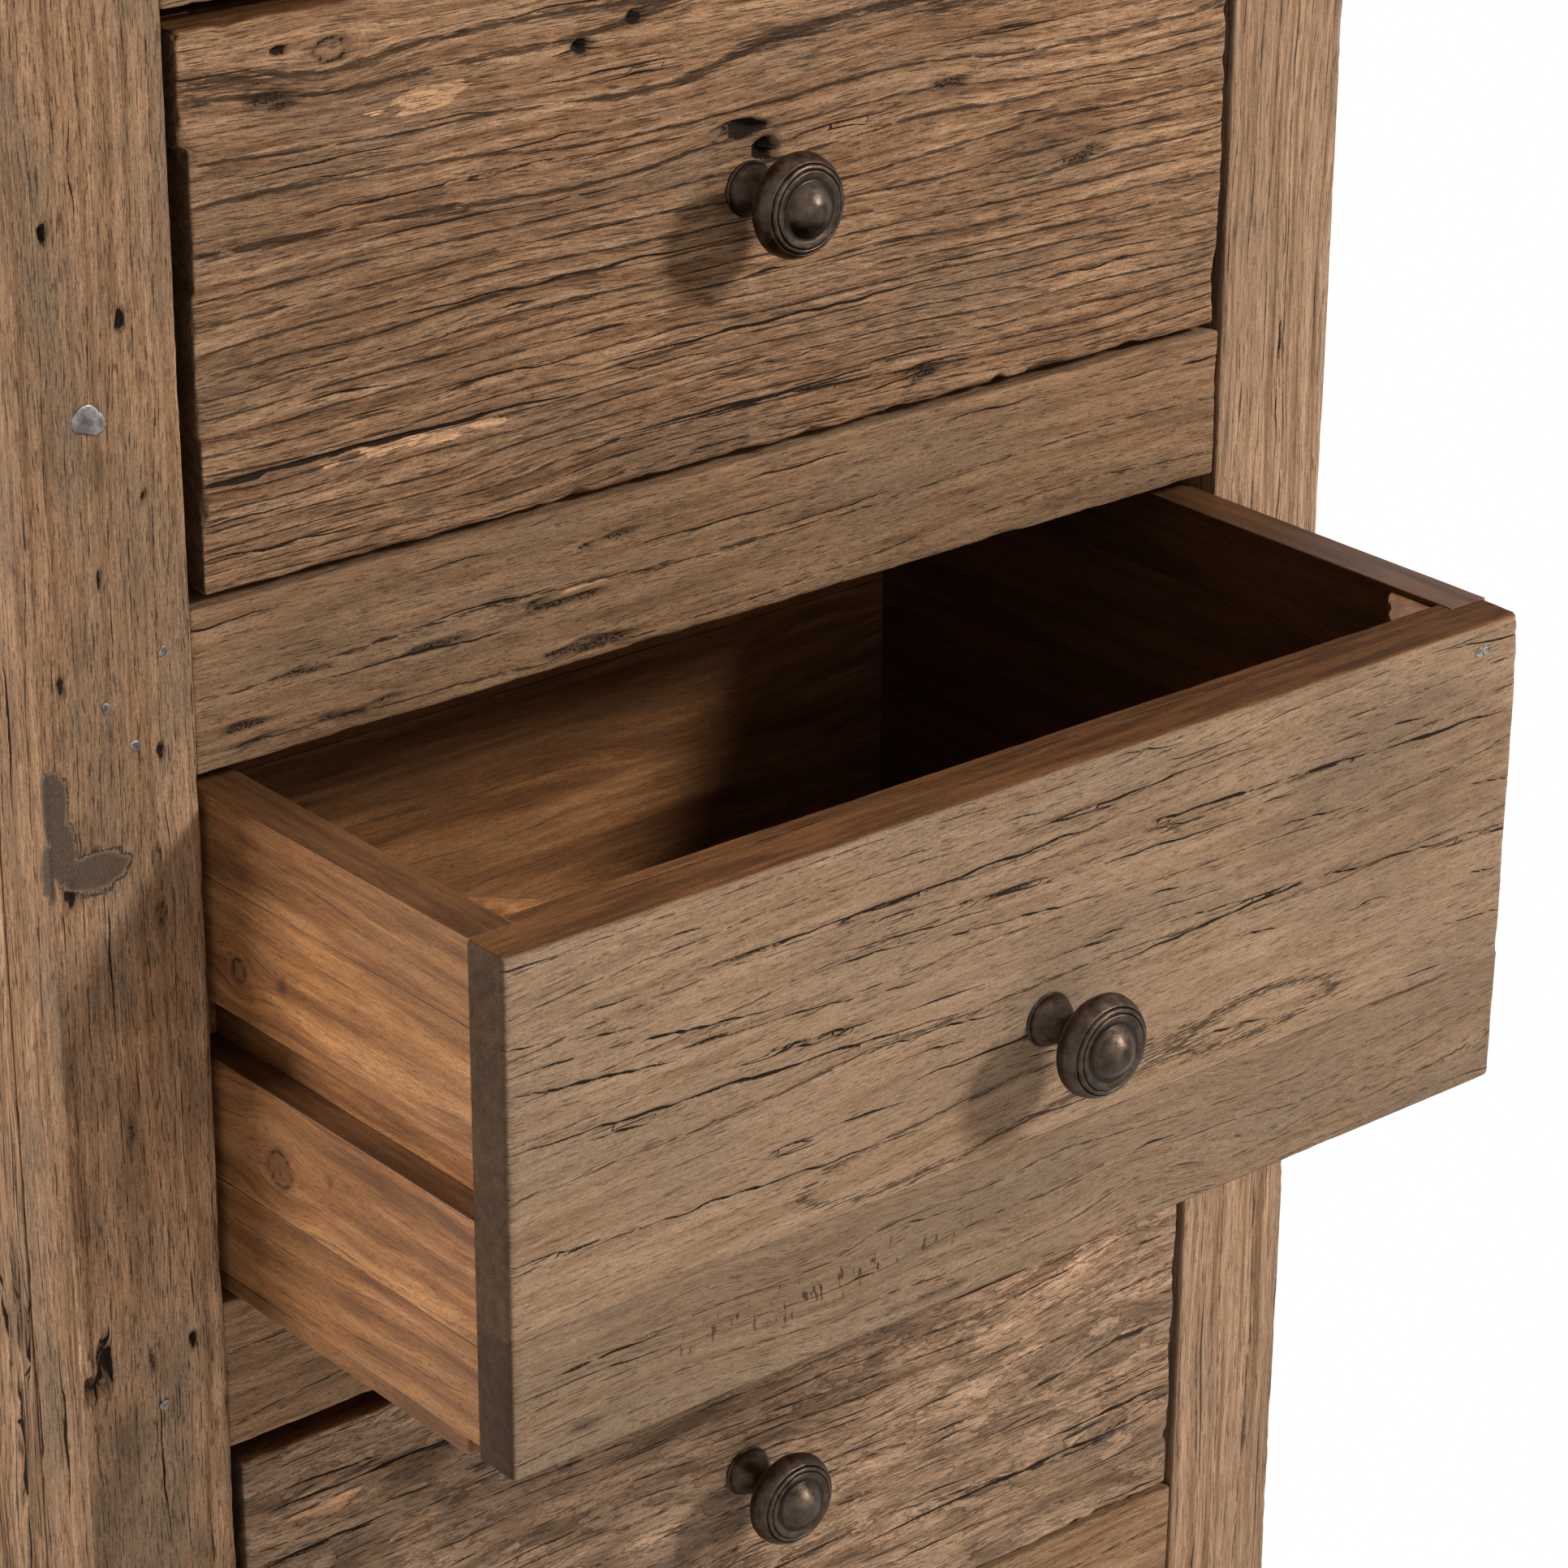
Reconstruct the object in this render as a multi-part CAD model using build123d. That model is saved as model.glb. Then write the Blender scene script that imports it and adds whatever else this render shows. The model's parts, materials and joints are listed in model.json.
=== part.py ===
from build123d import *
import os

# A tall, narrow chest of five equal drawers in reclaimed wood. Millimetres, +Z up, front towards -Y.
# The drawers are counted from the top. The middle one stands open, the others are shut.

# Frame sizes
opening_width = 360
opening_height = 153
drawer_count = 5
stile_width = 45
stile_thickness = 25
rail_height = 45
rail_thickness = 22
rail_setback = 1
leg_height = 80
carcass_depth = 305
side_thickness = 18
post_width = 25
post_depth = 45
back_thickness = 6
back_rebate = 10
rear_rail_thickness = 20
top_thickness = 25
top_overhang = 12
top_rounding = 3
worn_arris = 1.5

# Joints of the frame
tenon_length = 20
rear_tenon_length = 15
tenon_thickness = 8
tenon_shoulder = 7
tongue_width = 6
tongue_length = 6.5
joint_clearance = 0.2

# Drawer sizes
front_gap_side = 2.5
front_gap_below = 2.5
front_gap_above = 5
front_thickness = 19
front_lip = 14
front_rounding = 3
drawer_length = 270
drawer_side_thickness = 14
drawer_back_thickness = 14
drawer_bottom_thickness = 5
corner_block_leg = 18
corner_block_drop = 1.5
drawer_pull = 125

# Groove in the drawer's sides and the runner in it
groove_height = 16.5
groove_depth = 9
groove_base = 69
runner_gap_above = 0.3
runner_gap_below = 0.5
runner_gap_deep = 0.5
runner_stop_gap = 0.5

# Knob and its screw
knob_head_radius = 14.6
knob_reach = 30
knob_base_radius = 7.6
knob_neck_radius = 4.2
screw_radius = 2
screw_head_radius = 4
screw_head_height = 2.5
screw_grip = 11
screw_clearance = 0.05
screw_hole_clearance = 0.25
hole_end_room = 1

# The knob's turned outline: shares of the radius that rules each stretch, and of the reach in front of the drawer
foot_shares = ((1.0, 0.0), (1.0, 0.05), (0.87, 0.15), (0.62, 0.235))
neck_shares = ((1.0, 0.335), (1.16, 0.45))
rim_shares = ((0.575, 0.555), (0.905, 0.627), (1.0, 0.70), (0.95, 0.793), (0.82, 0.853))
face_shares = ((0.78, 0.835), (0.76, 0.88), (0.66, 0.893), (0.535, 0.867))
dome_shares = ((0.43, 0.935), (0.25, 0.98), (0.06, 1.0))
knob_sides = 32

# Places worked out from the sizes
half_opening = opening_width / 2
half_width = half_opening + stile_width
pitch = opening_height + rail_height
first_opening = leg_height + rail_height
frame_top = first_opening + drawer_count * pitch
front_plane = (drawer_pull + knob_reach - carcass_depth) / 2
back_plane = front_plane + carcass_depth
post_front = back_plane - post_depth
back_panel_front = back_plane - back_thickness
post_inner = half_width - post_width
side_inner = half_width - side_thickness
tongue_middle = half_width - side_thickness / 2
half_drawer = half_opening - front_gap_side
half_inside = half_drawer - drawer_side_thickness
front_height = opening_height - front_gap_below - front_gap_above
knob_height = opening_height / 2 - front_gap_below
open_drawer = drawer_count // 2 + 1
rail_names = ["bottom_rail"]
rail_names += [f"drawer_rail_{number}" for number in range(drawer_count - 1, 0, -1)]
rail_names += ["top_rail"]


def slab(low, high):
    """A board between two opposite corners."""
    size = [top - bottom for bottom, top in zip(low, high)]
    return Pos(*low) * Box(*size, align=(Align.MIN, Align.MIN, Align.MIN))


def plan_board(points, low, high):
    """A board whose outline is drawn from above."""
    outline = make_face(Polyline(*points, close=True))
    return Pos(0, 0, low) * extrude(outline, amount=high - low)


def end_view_board(points, near, far):
    """A board whose outline is drawn from the front, as X and Z."""
    outline = Plane.XZ * make_face(Polyline(*points, close=True))
    return Pos(0, near, 0) * extrude(outline, amount=far - near, dir=(0, 1, 0))


def opening_floor(number):
    """Height of the lower edge of a drawer's opening, counted from the top drawer."""
    return first_opening + (drawer_count - number) * pitch


def both_hands(right):
    """A right-hand piece and its mirror image on the left."""
    return right, mirror(right, about=Plane.YZ)


def front_rail_heights():
    """Lower edges of the front rails, from the bottom up."""
    return [leg_height + index * pitch for index in range(drawer_count + 1)]


def rear_rail_heights():
    """Lower edges of the two rear rails."""
    return [leg_height, frame_top - rail_height]


def tenon(half_span, length, middle, low, clearance):
    """The bar that a rail's two tenons are cut from, larger by a clearance for the mortises."""
    reach = half_span + length + clearance
    half_thick = tenon_thickness / 2 + clearance
    bottom = low + tenon_shoulder - clearance
    top = low + rail_height - tenon_shoulder + clearance
    return slab((-reach, middle - half_thick, bottom), (reach, middle + half_thick, top))


def front_rail(low):
    """A rail between the front stiles, set back a little and tenoned at both ends."""
    near = front_plane + rail_setback
    body = slab((-half_opening, near, low), (half_opening, near + rail_thickness, low + rail_height))
    front_edges = body.edges().filter_by(Axis.X).group_by(Axis.Y)[0]
    body = fillet(front_edges, worn_arris)
    return body + tenon(half_opening, tenon_length, near + rail_thickness / 2, low, 0)


def rear_rail(low):
    """A rail between the rear posts, against the back panel."""
    near = back_panel_front - rear_rail_thickness
    body = slab((-post_inner, near, low), (post_inner, back_panel_front, low + rail_height))
    return body + tenon(post_inner, rear_tenon_length, near + rear_rail_thickness / 2, low, 0)


def tongue_groove(near, far):
    """The slot in a stile or post that takes the side panel's tongue."""
    half_slot = tongue_width / 2 + joint_clearance
    return slab(
        (tongue_middle - half_slot, near, leg_height), (tongue_middle + half_slot, far, frame_top)
    )


def right_front_stile():
    """Front stile and leg in one, mortised for the rails and grooved for the side panel."""
    stile_back = front_plane + stile_thickness
    body = slab((half_opening, front_plane, 0), (half_width, stile_back, frame_top))
    front_edges = body.edges().filter_by(Axis.Z).group_by(Axis.Y)[0]
    body = fillet(front_edges, worn_arris)
    body -= tongue_groove(stile_back - tongue_length - joint_clearance, stile_back)
    rail_middle = front_plane + rail_setback + rail_thickness / 2
    for low in front_rail_heights():
        body -= tenon(half_opening, tenon_length, rail_middle, low, joint_clearance)
    return body


def right_rear_post():
    """Rear post and leg in one, grooved for the side panel and rebated for the back."""
    body = slab((post_inner, post_front, 0), (half_width, back_plane, frame_top))
    body -= tongue_groove(post_front, post_front + tongue_length + joint_clearance)
    body -= slab(
        (post_inner, back_panel_front, leg_height), (post_inner + back_rebate, back_plane, frame_top)
    )
    rail_middle = back_panel_front - rear_rail_thickness / 2
    for low in rear_rail_heights():
        body -= tenon(post_inner, rear_tenon_length, rail_middle, low, joint_clearance)
    return body


def right_side_panel():
    """Side of the carcass, with a tongue along its front and rear edge."""
    near = front_plane + stile_thickness
    half_tongue = tongue_width / 2
    points = [
        (side_inner, near),
        (tongue_middle - half_tongue, near),
        (tongue_middle - half_tongue, near - tongue_length),
        (tongue_middle + half_tongue, near - tongue_length),
        (tongue_middle + half_tongue, near),
        (half_width, near),
        (half_width, post_front),
        (tongue_middle + half_tongue, post_front),
        (tongue_middle + half_tongue, post_front + tongue_length),
        (tongue_middle - half_tongue, post_front + tongue_length),
        (tongue_middle - half_tongue, post_front),
        (side_inner, post_front),
    ]
    return plan_board(points, leg_height, frame_top)


def top_board():
    """Top with a rounded edge, overhanging at the front and the sides."""
    reach = half_width + top_overhang
    near = front_plane - top_overhang
    body = slab((-reach, near, frame_top), (reach, back_plane, frame_top + top_thickness))
    upright = body.edges().filter_by(Axis.Z).group_by(Axis.Y)[0]
    body = fillet(upright, top_rounding)
    rim = body.faces().sort_by(Axis.Z)[-1].edges()
    return fillet(rim, top_rounding)


def back_panel():
    """Thin back in the rebates of the rear posts."""
    reach = post_inner + back_rebate - joint_clearance
    return slab((-reach, back_panel_front, leg_height), (reach, back_plane, frame_top))


def right_runner(number):
    """Wooden runner on the side panel, notched round the stile, with its edge in the drawer's groove."""
    tip = half_drawer - groove_depth + runner_gap_deep
    tip_front = front_plane + front_lip + runner_stop_gap
    stile_back = front_plane + stile_thickness
    drawer_floor = opening_floor(number) + front_gap_below
    low = drawer_floor + groove_base + runner_gap_below
    high = drawer_floor + groove_base + groove_height - runner_gap_above
    points = [
        (tip, tip_front),
        (half_opening, tip_front),
        (half_opening, stile_back),
        (side_inner, stile_back),
        (side_inner, post_front),
        (tip, post_front),
    ]
    return plan_board(points, low, high)


def drawer_front():
    """Front with both ends rebated for the sides, rounded arrises and a hole for the knob's screw."""
    points = [
        (-half_drawer, 0),
        (half_drawer, 0),
        (half_drawer, front_lip),
        (half_inside, front_lip),
        (half_inside, front_thickness),
        (-half_inside, front_thickness),
        (-half_inside, front_lip),
        (-half_drawer, front_lip),
    ]
    body = plan_board(points, 0, front_height)
    body = fillet(body.faces().sort_by(Axis.Y)[0].edges(), front_rounding)
    hole = Cylinder(screw_radius + screw_hole_clearance, front_thickness, rotation=(90, 0, 0))
    return body - Pos(0, front_thickness / 2, knob_height) * hole


def drawer_right_side():
    """Drawer side standing on the bottom, with the runner's groove along its outer face."""
    groove_top = groove_base + groove_height
    groove_wall = half_drawer - groove_depth
    points = [
        (half_inside, drawer_bottom_thickness),
        (half_drawer, drawer_bottom_thickness),
        (half_drawer, groove_base),
        (groove_wall, groove_base),
        (groove_wall, groove_top),
        (half_drawer, groove_top),
        (half_drawer, front_height),
        (half_inside, front_height),
    ]
    return end_view_board(points, front_lip, drawer_length)


def drawer_back():
    """Back between the sides, standing on the bottom."""
    near = drawer_length - drawer_back_thickness
    return slab(
        (-half_inside, near, drawer_bottom_thickness), (half_inside, drawer_length, front_height)
    )


def drawer_bottom():
    """Thin bottom under the sides and the back, up to the inner face of the front."""
    return slab((-half_drawer, front_thickness, 0), (half_drawer, drawer_length, drawer_bottom_thickness))


def right_corner_block():
    """Three-cornered glue block in a front corner of the drawer."""
    points = [
        (half_inside, front_thickness),
        (half_inside, front_thickness + corner_block_leg),
        (half_inside - corner_block_leg, front_thickness),
    ]
    return plan_board(points, drawer_bottom_thickness, front_height - corner_block_drop)


def on_drawer_axis(shape):
    """Turn a shape made along +Z so that it stands out of the front at the knob's height."""
    return Pos(0, 0, knob_height) * Rot(90, 0, 0) * shape


def turned(rings):
    """A turned solid about Z through rings of radius and height, many-sided so that repeats stay light."""
    turns = [360 / knob_sides * side for side in range(knob_sides)]
    corners = [[Vector(radius, 0, out).rotate(Axis.Z, turn) for turn in turns] for radius, out in rings]
    walls = [Face(Wire.make_polygon(ring)) for ring in (corners[0], corners[-1])]
    for lower, upper in zip(corners, corners[1:]):
        for side in range(knob_sides):
            wall = (lower[side - 1], lower[side], upper[side], upper[side - 1])
            walls.append(Face(Wire.make_polygon(wall)))
    return Solid(Shell(walls))


def knob():
    """Turned knob: beaded foot, narrow neck, and a head with a rolled rim, stepped face and dome."""
    stretches = (
        (knob_base_radius, foot_shares),
        (knob_neck_radius, neck_shares),
        (knob_head_radius, rim_shares + face_shares + dome_shares),
    )
    rings = [
        (radius * across, knob_reach * out) for radius, shares in stretches for across, out in shares
    ]
    on_axis = (Align.CENTER, Align.CENTER, Align.MIN)
    hole = Cylinder(screw_radius + screw_clearance, screw_grip + hole_end_room, align=on_axis)
    return on_drawer_axis(turned(rings) - hole)


def knob_screw():
    """Screw through the front into the knob, with its head inside the drawer."""
    on_axis = (Align.CENTER, Align.CENTER, Align.MIN)
    shank = Cylinder(screw_radius, front_thickness + screw_grip, align=on_axis)
    head = Cylinder(screw_head_radius, screw_head_height, align=on_axis)
    return on_drawer_axis(Pos(0, 0, -front_thickness) * (shank + Pos(0, 0, -screw_head_height) * head))


def carcass_pieces():
    """The pieces of the fixed frame, by name."""
    pieces = {}
    right_hand = {
        "front_stile": right_front_stile(),
        "rear_post": right_rear_post(),
        "side_panel": right_side_panel(),
        "runners": Compound([right_runner(number) for number in range(1, drawer_count + 1)]),
    }
    for name, shape in right_hand.items():
        pieces["right_" + name], pieces["left_" + name] = both_hands(shape)
    for name, low in zip(rail_names, front_rail_heights()):
        pieces[name] = front_rail(low)
    for name, low in zip(("rear_bottom_rail", "rear_top_rail"), rear_rail_heights()):
        pieces[name] = rear_rail(low)
    pieces["top_board"] = top_board()
    pieces["back_panel"] = back_panel()
    return pieces


def drawer_pieces():
    """The pieces of one drawer, with its front's outer face at y 0 and its lower edge at z 0."""
    right_side, left_side = both_hands(drawer_right_side())
    return {
        "front": drawer_front(),
        "right_side": right_side,
        "left_side": left_side,
        "back": drawer_back(),
        "bottom": drawer_bottom(),
        "corner_blocks": Compound(list(both_hands(right_corner_block()))),
        "knob": knob(),
        "knob_screw": knob_screw(),
    }


def all_pieces():
    """Every piece of the chest in its place."""
    pieces = carcass_pieces()
    one_drawer = drawer_pieces()
    for number in range(1, drawer_count + 1):
        pulled = drawer_pull if number == open_drawer else 0
        place = Pos(0, front_plane - pulled, opening_floor(number) + front_gap_below)
        for name, shape in one_drawer.items():
            pieces[f"drawer_{number}_{name}"] = place * shape
    return pieces


os.makedirs("parts", exist_ok=True)
for piece_name, piece in all_pieces().items():
    export_step(piece, f"parts/{piece_name}.step")
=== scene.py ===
import json
import math
from dataclasses import dataclass, field
from functools import partial, partialmethod
from itertools import product

import bpy
import numpy as np
from mathutils import Matrix, Vector


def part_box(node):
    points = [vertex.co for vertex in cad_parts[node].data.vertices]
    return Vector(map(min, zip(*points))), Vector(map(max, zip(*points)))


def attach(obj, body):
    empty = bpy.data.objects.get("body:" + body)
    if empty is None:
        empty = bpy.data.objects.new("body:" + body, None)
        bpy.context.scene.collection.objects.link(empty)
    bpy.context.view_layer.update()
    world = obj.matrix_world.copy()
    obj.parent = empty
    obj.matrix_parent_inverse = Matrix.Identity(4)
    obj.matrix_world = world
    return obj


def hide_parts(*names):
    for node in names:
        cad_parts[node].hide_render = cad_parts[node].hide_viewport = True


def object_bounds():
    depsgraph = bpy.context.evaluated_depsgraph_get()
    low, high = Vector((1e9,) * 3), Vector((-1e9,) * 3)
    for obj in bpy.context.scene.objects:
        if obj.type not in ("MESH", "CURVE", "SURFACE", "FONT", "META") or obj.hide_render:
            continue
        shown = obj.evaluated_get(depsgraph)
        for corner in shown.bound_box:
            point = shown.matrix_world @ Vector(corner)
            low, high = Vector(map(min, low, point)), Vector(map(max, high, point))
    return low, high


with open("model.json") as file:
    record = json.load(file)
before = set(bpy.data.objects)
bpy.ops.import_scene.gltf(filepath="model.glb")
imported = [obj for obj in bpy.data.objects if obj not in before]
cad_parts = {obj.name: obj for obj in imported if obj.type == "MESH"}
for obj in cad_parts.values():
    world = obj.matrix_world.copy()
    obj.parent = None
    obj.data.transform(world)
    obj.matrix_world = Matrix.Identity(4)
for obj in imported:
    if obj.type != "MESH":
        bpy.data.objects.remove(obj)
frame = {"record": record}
cad_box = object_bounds()

# Looks of a narrow chest of drawers in reclaimed wood.
# Meshes are worked out in millimetres, with +Z up and the front at -Y.
MM = 0.001
X, Y, Z = 0, 1, 2
FRONT, REAR = (Y, -1), (Y, 1)
LEFT, RIGHT = (X, -1), (X, 1)
TOP, UNDER = (Z, 1), (Z, -1)
side_faces = {"left": LEFT, "right": RIGHT}
drawer_numbers = range(1, 6)

# The camera, at the photograph's place and angle
camera_place = (-780.3, -1026.4, 1158.1)
camera_yaw, camera_pitch, camera_roll = 39.825, 23.502, 0.265
camera_lens, camera_sensor = 110.0, 36.0

# Lamps: the direction that each stands in, its distance and size in metres, and its power
lamp_target = (0.0, -0.1, 0.6)
lamps = {
    "key_lamp": ((0.47, -0.70, 0.55), 2.6, 0.42, 69.0),
    "left_lamp": ((-0.74, 0.38, 0.55), 2.4, 0.8, 60.0),
    "fill_lamp": ((-0.14, -0.97, 0.2), 2.8, 1.6, 12.0),
}
ambient_light = 0.155

# The floor turns white between these distances from the chest's middle, in metres
floor_near, floor_far = 0.34, 0.58
floor_half_size = 20.0


def srgb(red, green, blue):
    """A colour written as 0 to 255 values, for a shader."""
    parts = [part / 255 for part in (red, green, blue)]
    line = [part / 12.92 if part <= 0.04045 else ((part + 0.055) / 1.055) ** 2.4 for part in parts]
    return (*line, 1.0)


# Smooth noise on points

slope_count = 256
slopes = np.random.default_rng(11).normal(size=(slope_count, 3))
slopes = (slopes / np.linalg.norm(slopes, axis=1, keepdims=True)).astype(np.float32)
cell_primes = (73856093, 19349663, 83492791)
seed_prime, mixing_prime = 12582917, 2246822519


def noise(points, scales, seed):
    """Gradient noise, mostly between -0.7 and 0.7, with a size in millimetres for each coordinate."""
    keys, parts, eases = [], [], []
    for axis, prime in enumerate(cell_primes):
        scaled = points[:, axis] / scales[axis]
        cell = np.floor(scaled)
        part = (scaled - cell).astype(np.float32)
        ease = part * part * part * (part * (part * 6 - 15) + 10)
        cell = cell.astype(np.int64)
        keys.append((cell * prime, (cell + 1) * prime))
        parts.append((part, part - 1))
        eases.append((1 - ease, ease))
    total = np.zeros(len(points), np.float32)
    for i, j, k in product((0, 1), repeat=3):
        key = keys[0][i] ^ keys[1][j] ^ keys[2][k] ^ (seed * seed_prime)
        key = (key ^ (key >> 15)) * mixing_prime
        slope = slopes[(key ^ (key >> 13)) & (slope_count - 1)]
        dot = parts[0][i] * slope[:, 0] + parts[1][j] * slope[:, 1] + parts[2][k] * slope[:, 2]
        total += eases[0][i] * eases[1][j] * eases[2][k] * dot
    return total * 1.4


def step_up(value, low, high):
    """Smooth step from 0 at low to 1 at high."""
    share = np.clip((value - low) / (high - low), 0, 1)
    return share * share * (3 - 2 * share)


def third_axis(first, second):
    """The axis that two different axes leave over."""
    return X + Y + Z - first - second


# Boards and the marks on them

@dataclass
class Mark:
    """A trace of use, painted light or painted shade on a board, with its middle and half sizes along and
    across the fibres.
    """
    kind: str
    along: float
    across: float
    length: float
    width: float
    depth: float
    slope: float = 0.0
    face: tuple = None


def read_marks(table):
    """Marks by node: below a node's name one mark a line, with its values in order and a side as its face."""
    marks = {}
    for line in table.splitlines():
        kind, *sizes = line.split()
        if not sizes:
            on_node = marks[kind] = []
            continue
        face = side_faces[sizes.pop()] if sizes[-1] in side_faces else None
        on_node.append(Mark(kind, *map(float, sizes), face=face))
    return marks


@dataclass
class Board:
    """A board of one piece: its corners, the axis of its fibres, its best face and how it has worn."""
    low: tuple
    high: tuple
    along: int
    face: tuple
    step: tuple = (3.0, 1.2, 3.0)
    rounding: float = 1.0
    ragged: float = 1.0
    ridge: float = 0.12
    ring: float = 3.2
    wave: float = 0.25
    warp: float = 3.0
    tilt: float = 0.0
    pith: tuple = (40.0, 90.0)
    value: float = 0.0
    grey: float = 0.3
    cracks: int = 0
    crack_length: float = 22.0
    edge_light: float = 0.1
    sharp: tuple = ()
    shades: dict = field(default_factory=dict)
    # how far each face is varnished dark; on a drawer's inner faces this is also painted shade
    varnish: dict = field(default_factory=dict)
    marks: list = field(default_factory=list)
    seed: int = 1
    shape: object = None


# Grid lines near an edge as shares of its spread, how far that goes past the rounding, and the most of
# a board that an edge takes
edge_shares = np.array([0.0, 0.12, 0.3, 0.55, 0.85, 1.2, 1.7, 2.4])
edge_spread = 1.3
edge_limit = 0.45
tiny = 1e-6


def grid_lines(low, high, step, rounding):
    """Places of the grid's lines along one axis, close together at both ends where the edge is rounded."""
    ends = edge_shares * rounding
    ends = ends[ends < (high - low) * edge_limit]
    inner = (low + ends[-1], high - ends[-1])
    count = max(1, round((inner[1] - inner[0]) / step))
    middle = np.linspace(*inner, count + 1)[1:-1]
    return np.concatenate([low + ends, middle, (high - ends)[::-1]])


def box_grid(grids):
    """Points of a closed box of grid lines, its four-cornered faces, and for each face its axis and side."""
    sizes = [len(grid) for grid in grids]
    skin = np.ones(sizes, bool)
    skin[1:-1, 1:-1, 1:-1] = False
    ids = np.full(sizes, -1)
    ids[skin] = np.arange(skin.sum())
    points = np.stack(np.meshgrid(*grids, indexing="ij"), axis=-1)[skin]
    quads, axes = [], []
    for axis, side in product(range(3), (0, -1)):
        sheet = np.take(ids, side, axis)
        ring = [sheet[:-1, :-1], sheet[1:, :-1], sheet[1:, 1:], sheet[:-1, 1:]]
        if (side == 0) != (axis == Y):
            ring.reverse()
        faces = np.stack(ring, axis=-1).reshape(-1, 4)
        quads.append(faces)
        axes.append(np.full(len(faces), axis * 2 + (side != 0)))
    return points, np.concatenate(quads), np.concatenate(axes)


# How far a mark reaches past its half sizes, and the sizes of the unevenness of its outline
mark_reach, mark_margin = 1.6, 4.0
wobble_size = (14.0, 14.0, 14.0)
tear_width, tear_length = 2.2, 11.0
knot_ring, knot_ring_width, knot_core = 0.8, 0.2, 0.3
crack_fade = (1.3, 2.3)

# Hollows: how torn the outline is, how soon they are deep, what shows in them, how strongly, and from where
hollow_kinds = {
    "chip": (0.9, 0.45, "pale", 1.0, (0.02, 0.22)),
    "gouge": (1.2, 0.45, "stain", 0.84, (-0.3, 0.5)),
    "hole": (0.5, 0.5, "stain", 1.4, (-0.3, 0.4)),
}


def mark_effect(mark, board, rest, normal, seed):
    """The points that a mark lies on, and what it does to them."""
    through, sign = mark.face or board.face
    from_middle = rest[:, board.along] - mark.along
    off = rest[:, third_axis(board.along, through)] - mark.across - mark.slope * from_middle
    close = np.abs(from_middle) < mark_reach * mark.length
    close &= np.abs(off) < mark_reach * mark.width + mark_margin
    at = np.flatnonzero(close & (normal[:, through] * sign > 0.2))
    along, off = from_middle[at] / mark.length, off[at]
    across = off / mark.width
    far = np.hypot(along, across)
    wobble = noise(rest[at], wobble_size, seed)
    sizes = np.full(3, tear_width)
    sizes[board.along] = tear_length
    ragged = noise(rest[at], sizes, seed + 1)
    if mark.kind == "crack":
        line = off + 0.8 * wobble + 0.4 * ragged
        share = np.clip(1 - np.abs(along), 0, 1) ** 0.6
        inside = share - np.abs(line) / max(mark.width, 0.6)
        opening = mark.width * share * (1 - step_up(np.abs(line), *crack_fade))
        depth = mark.depth * np.clip(inside * 1.3, 0, 1)
        return at, {"depth": depth, "split": np.stack([line, opening], axis=1)}
    if mark.kind in hollow_kinds:
        torn, ease, shown, strength, bounds = hollow_kinds[mark.kind]
        inside = 1 - far + torn * ragged
        depth = mark.depth * step_up(inside, 0, ease)
        return at, {"depth": depth, shown: strength * step_up(inside, *bounds)}
    if mark.kind == "knot":
        far = far + 0.25 * wobble
        ring = np.exp(-(((far - knot_ring) / knot_ring_width) ** 2)) + 0.7 * np.exp(-((far / knot_core) ** 2))
        inside = step_up(1.15 - far, 0, 0.3)
        return at, {"depth": mark.depth * ring, "stain": np.maximum(0.4 * inside, ring)}
    if mark.kind == "putty":
        upright = mark.length > mark.width
        tip, flank = (along, across) if upright else (across, along)
        inside = 1 - np.abs(tip) ** (4 if upright else 2) - np.abs(flank) + 0.2 * wobble
        return at, {"depth": mark.depth * step_up(inside, 0, 0.3), "putty": np.clip(inside * 2, 0, 1)}
    # the other kinds fade out from their middle: grey, stains, ripples, painted light, and the painted shadow
    # on drawer 4's front
    return at, {mark.kind: mark.depth * step_up(1 - far + 0.5 * wobble, 0, 0.8)}


# distance that counts as away from all cracks
far_off = 9.0


def all_marks(marks, board, rest, normal, seed):
    """What all the marks do together, and each point's distance from the nearest crack and its opening."""
    kinds = ("depth", "pale", "stain", "putty", "grey", "bright", "ripple")
    values = {kind: np.zeros(len(rest)) for kind in kinds}
    split = np.tile((far_off, 0.0), (len(rest), 1))
    for index, mark in enumerate(marks):
        at, effects = mark_effect(mark, board, rest, normal, seed + index)
        if "split" in effects:
            line = effects.pop("split")
            nearer = np.abs(line[:, 0]) < np.abs(split[at, 0])
            split[at[nearer]] = line[nearer]
        for kind, effect in effects.items():
            values[kind][at] = np.maximum(values[kind][at], effect)
    return values, split


# Small cracks drawn at random: how far from the edges, the spread of their lengths, widths, depths and slopes
crack_margin = 3.0
crack_spread, crack_widths, crack_depths = (-0.7, 0.9), (0.14, 0.34), (0.5, 1.3)
crack_lean = 0.02


def random_cracks(board, seed):
    """Long thin cracks along the fibres, spread over the board's best face."""
    draw = np.random.default_rng(seed)
    across = third_axis(board.along, board.face[0])
    found = []
    for _ in range(board.cracks):
        middle = draw.uniform(board.low[board.along], board.high[board.along])
        place = draw.uniform(board.low[across] + crack_margin, board.high[across] - crack_margin)
        length = board.crack_length * math.exp(draw.uniform(*crack_spread))
        width = draw.uniform(*crack_widths)
        slope = board.tilt + draw.normal(0, crack_lean)
        found.append(Mark("crack", middle, place, length, width, draw.uniform(*crack_depths), slope))
    return found


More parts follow.
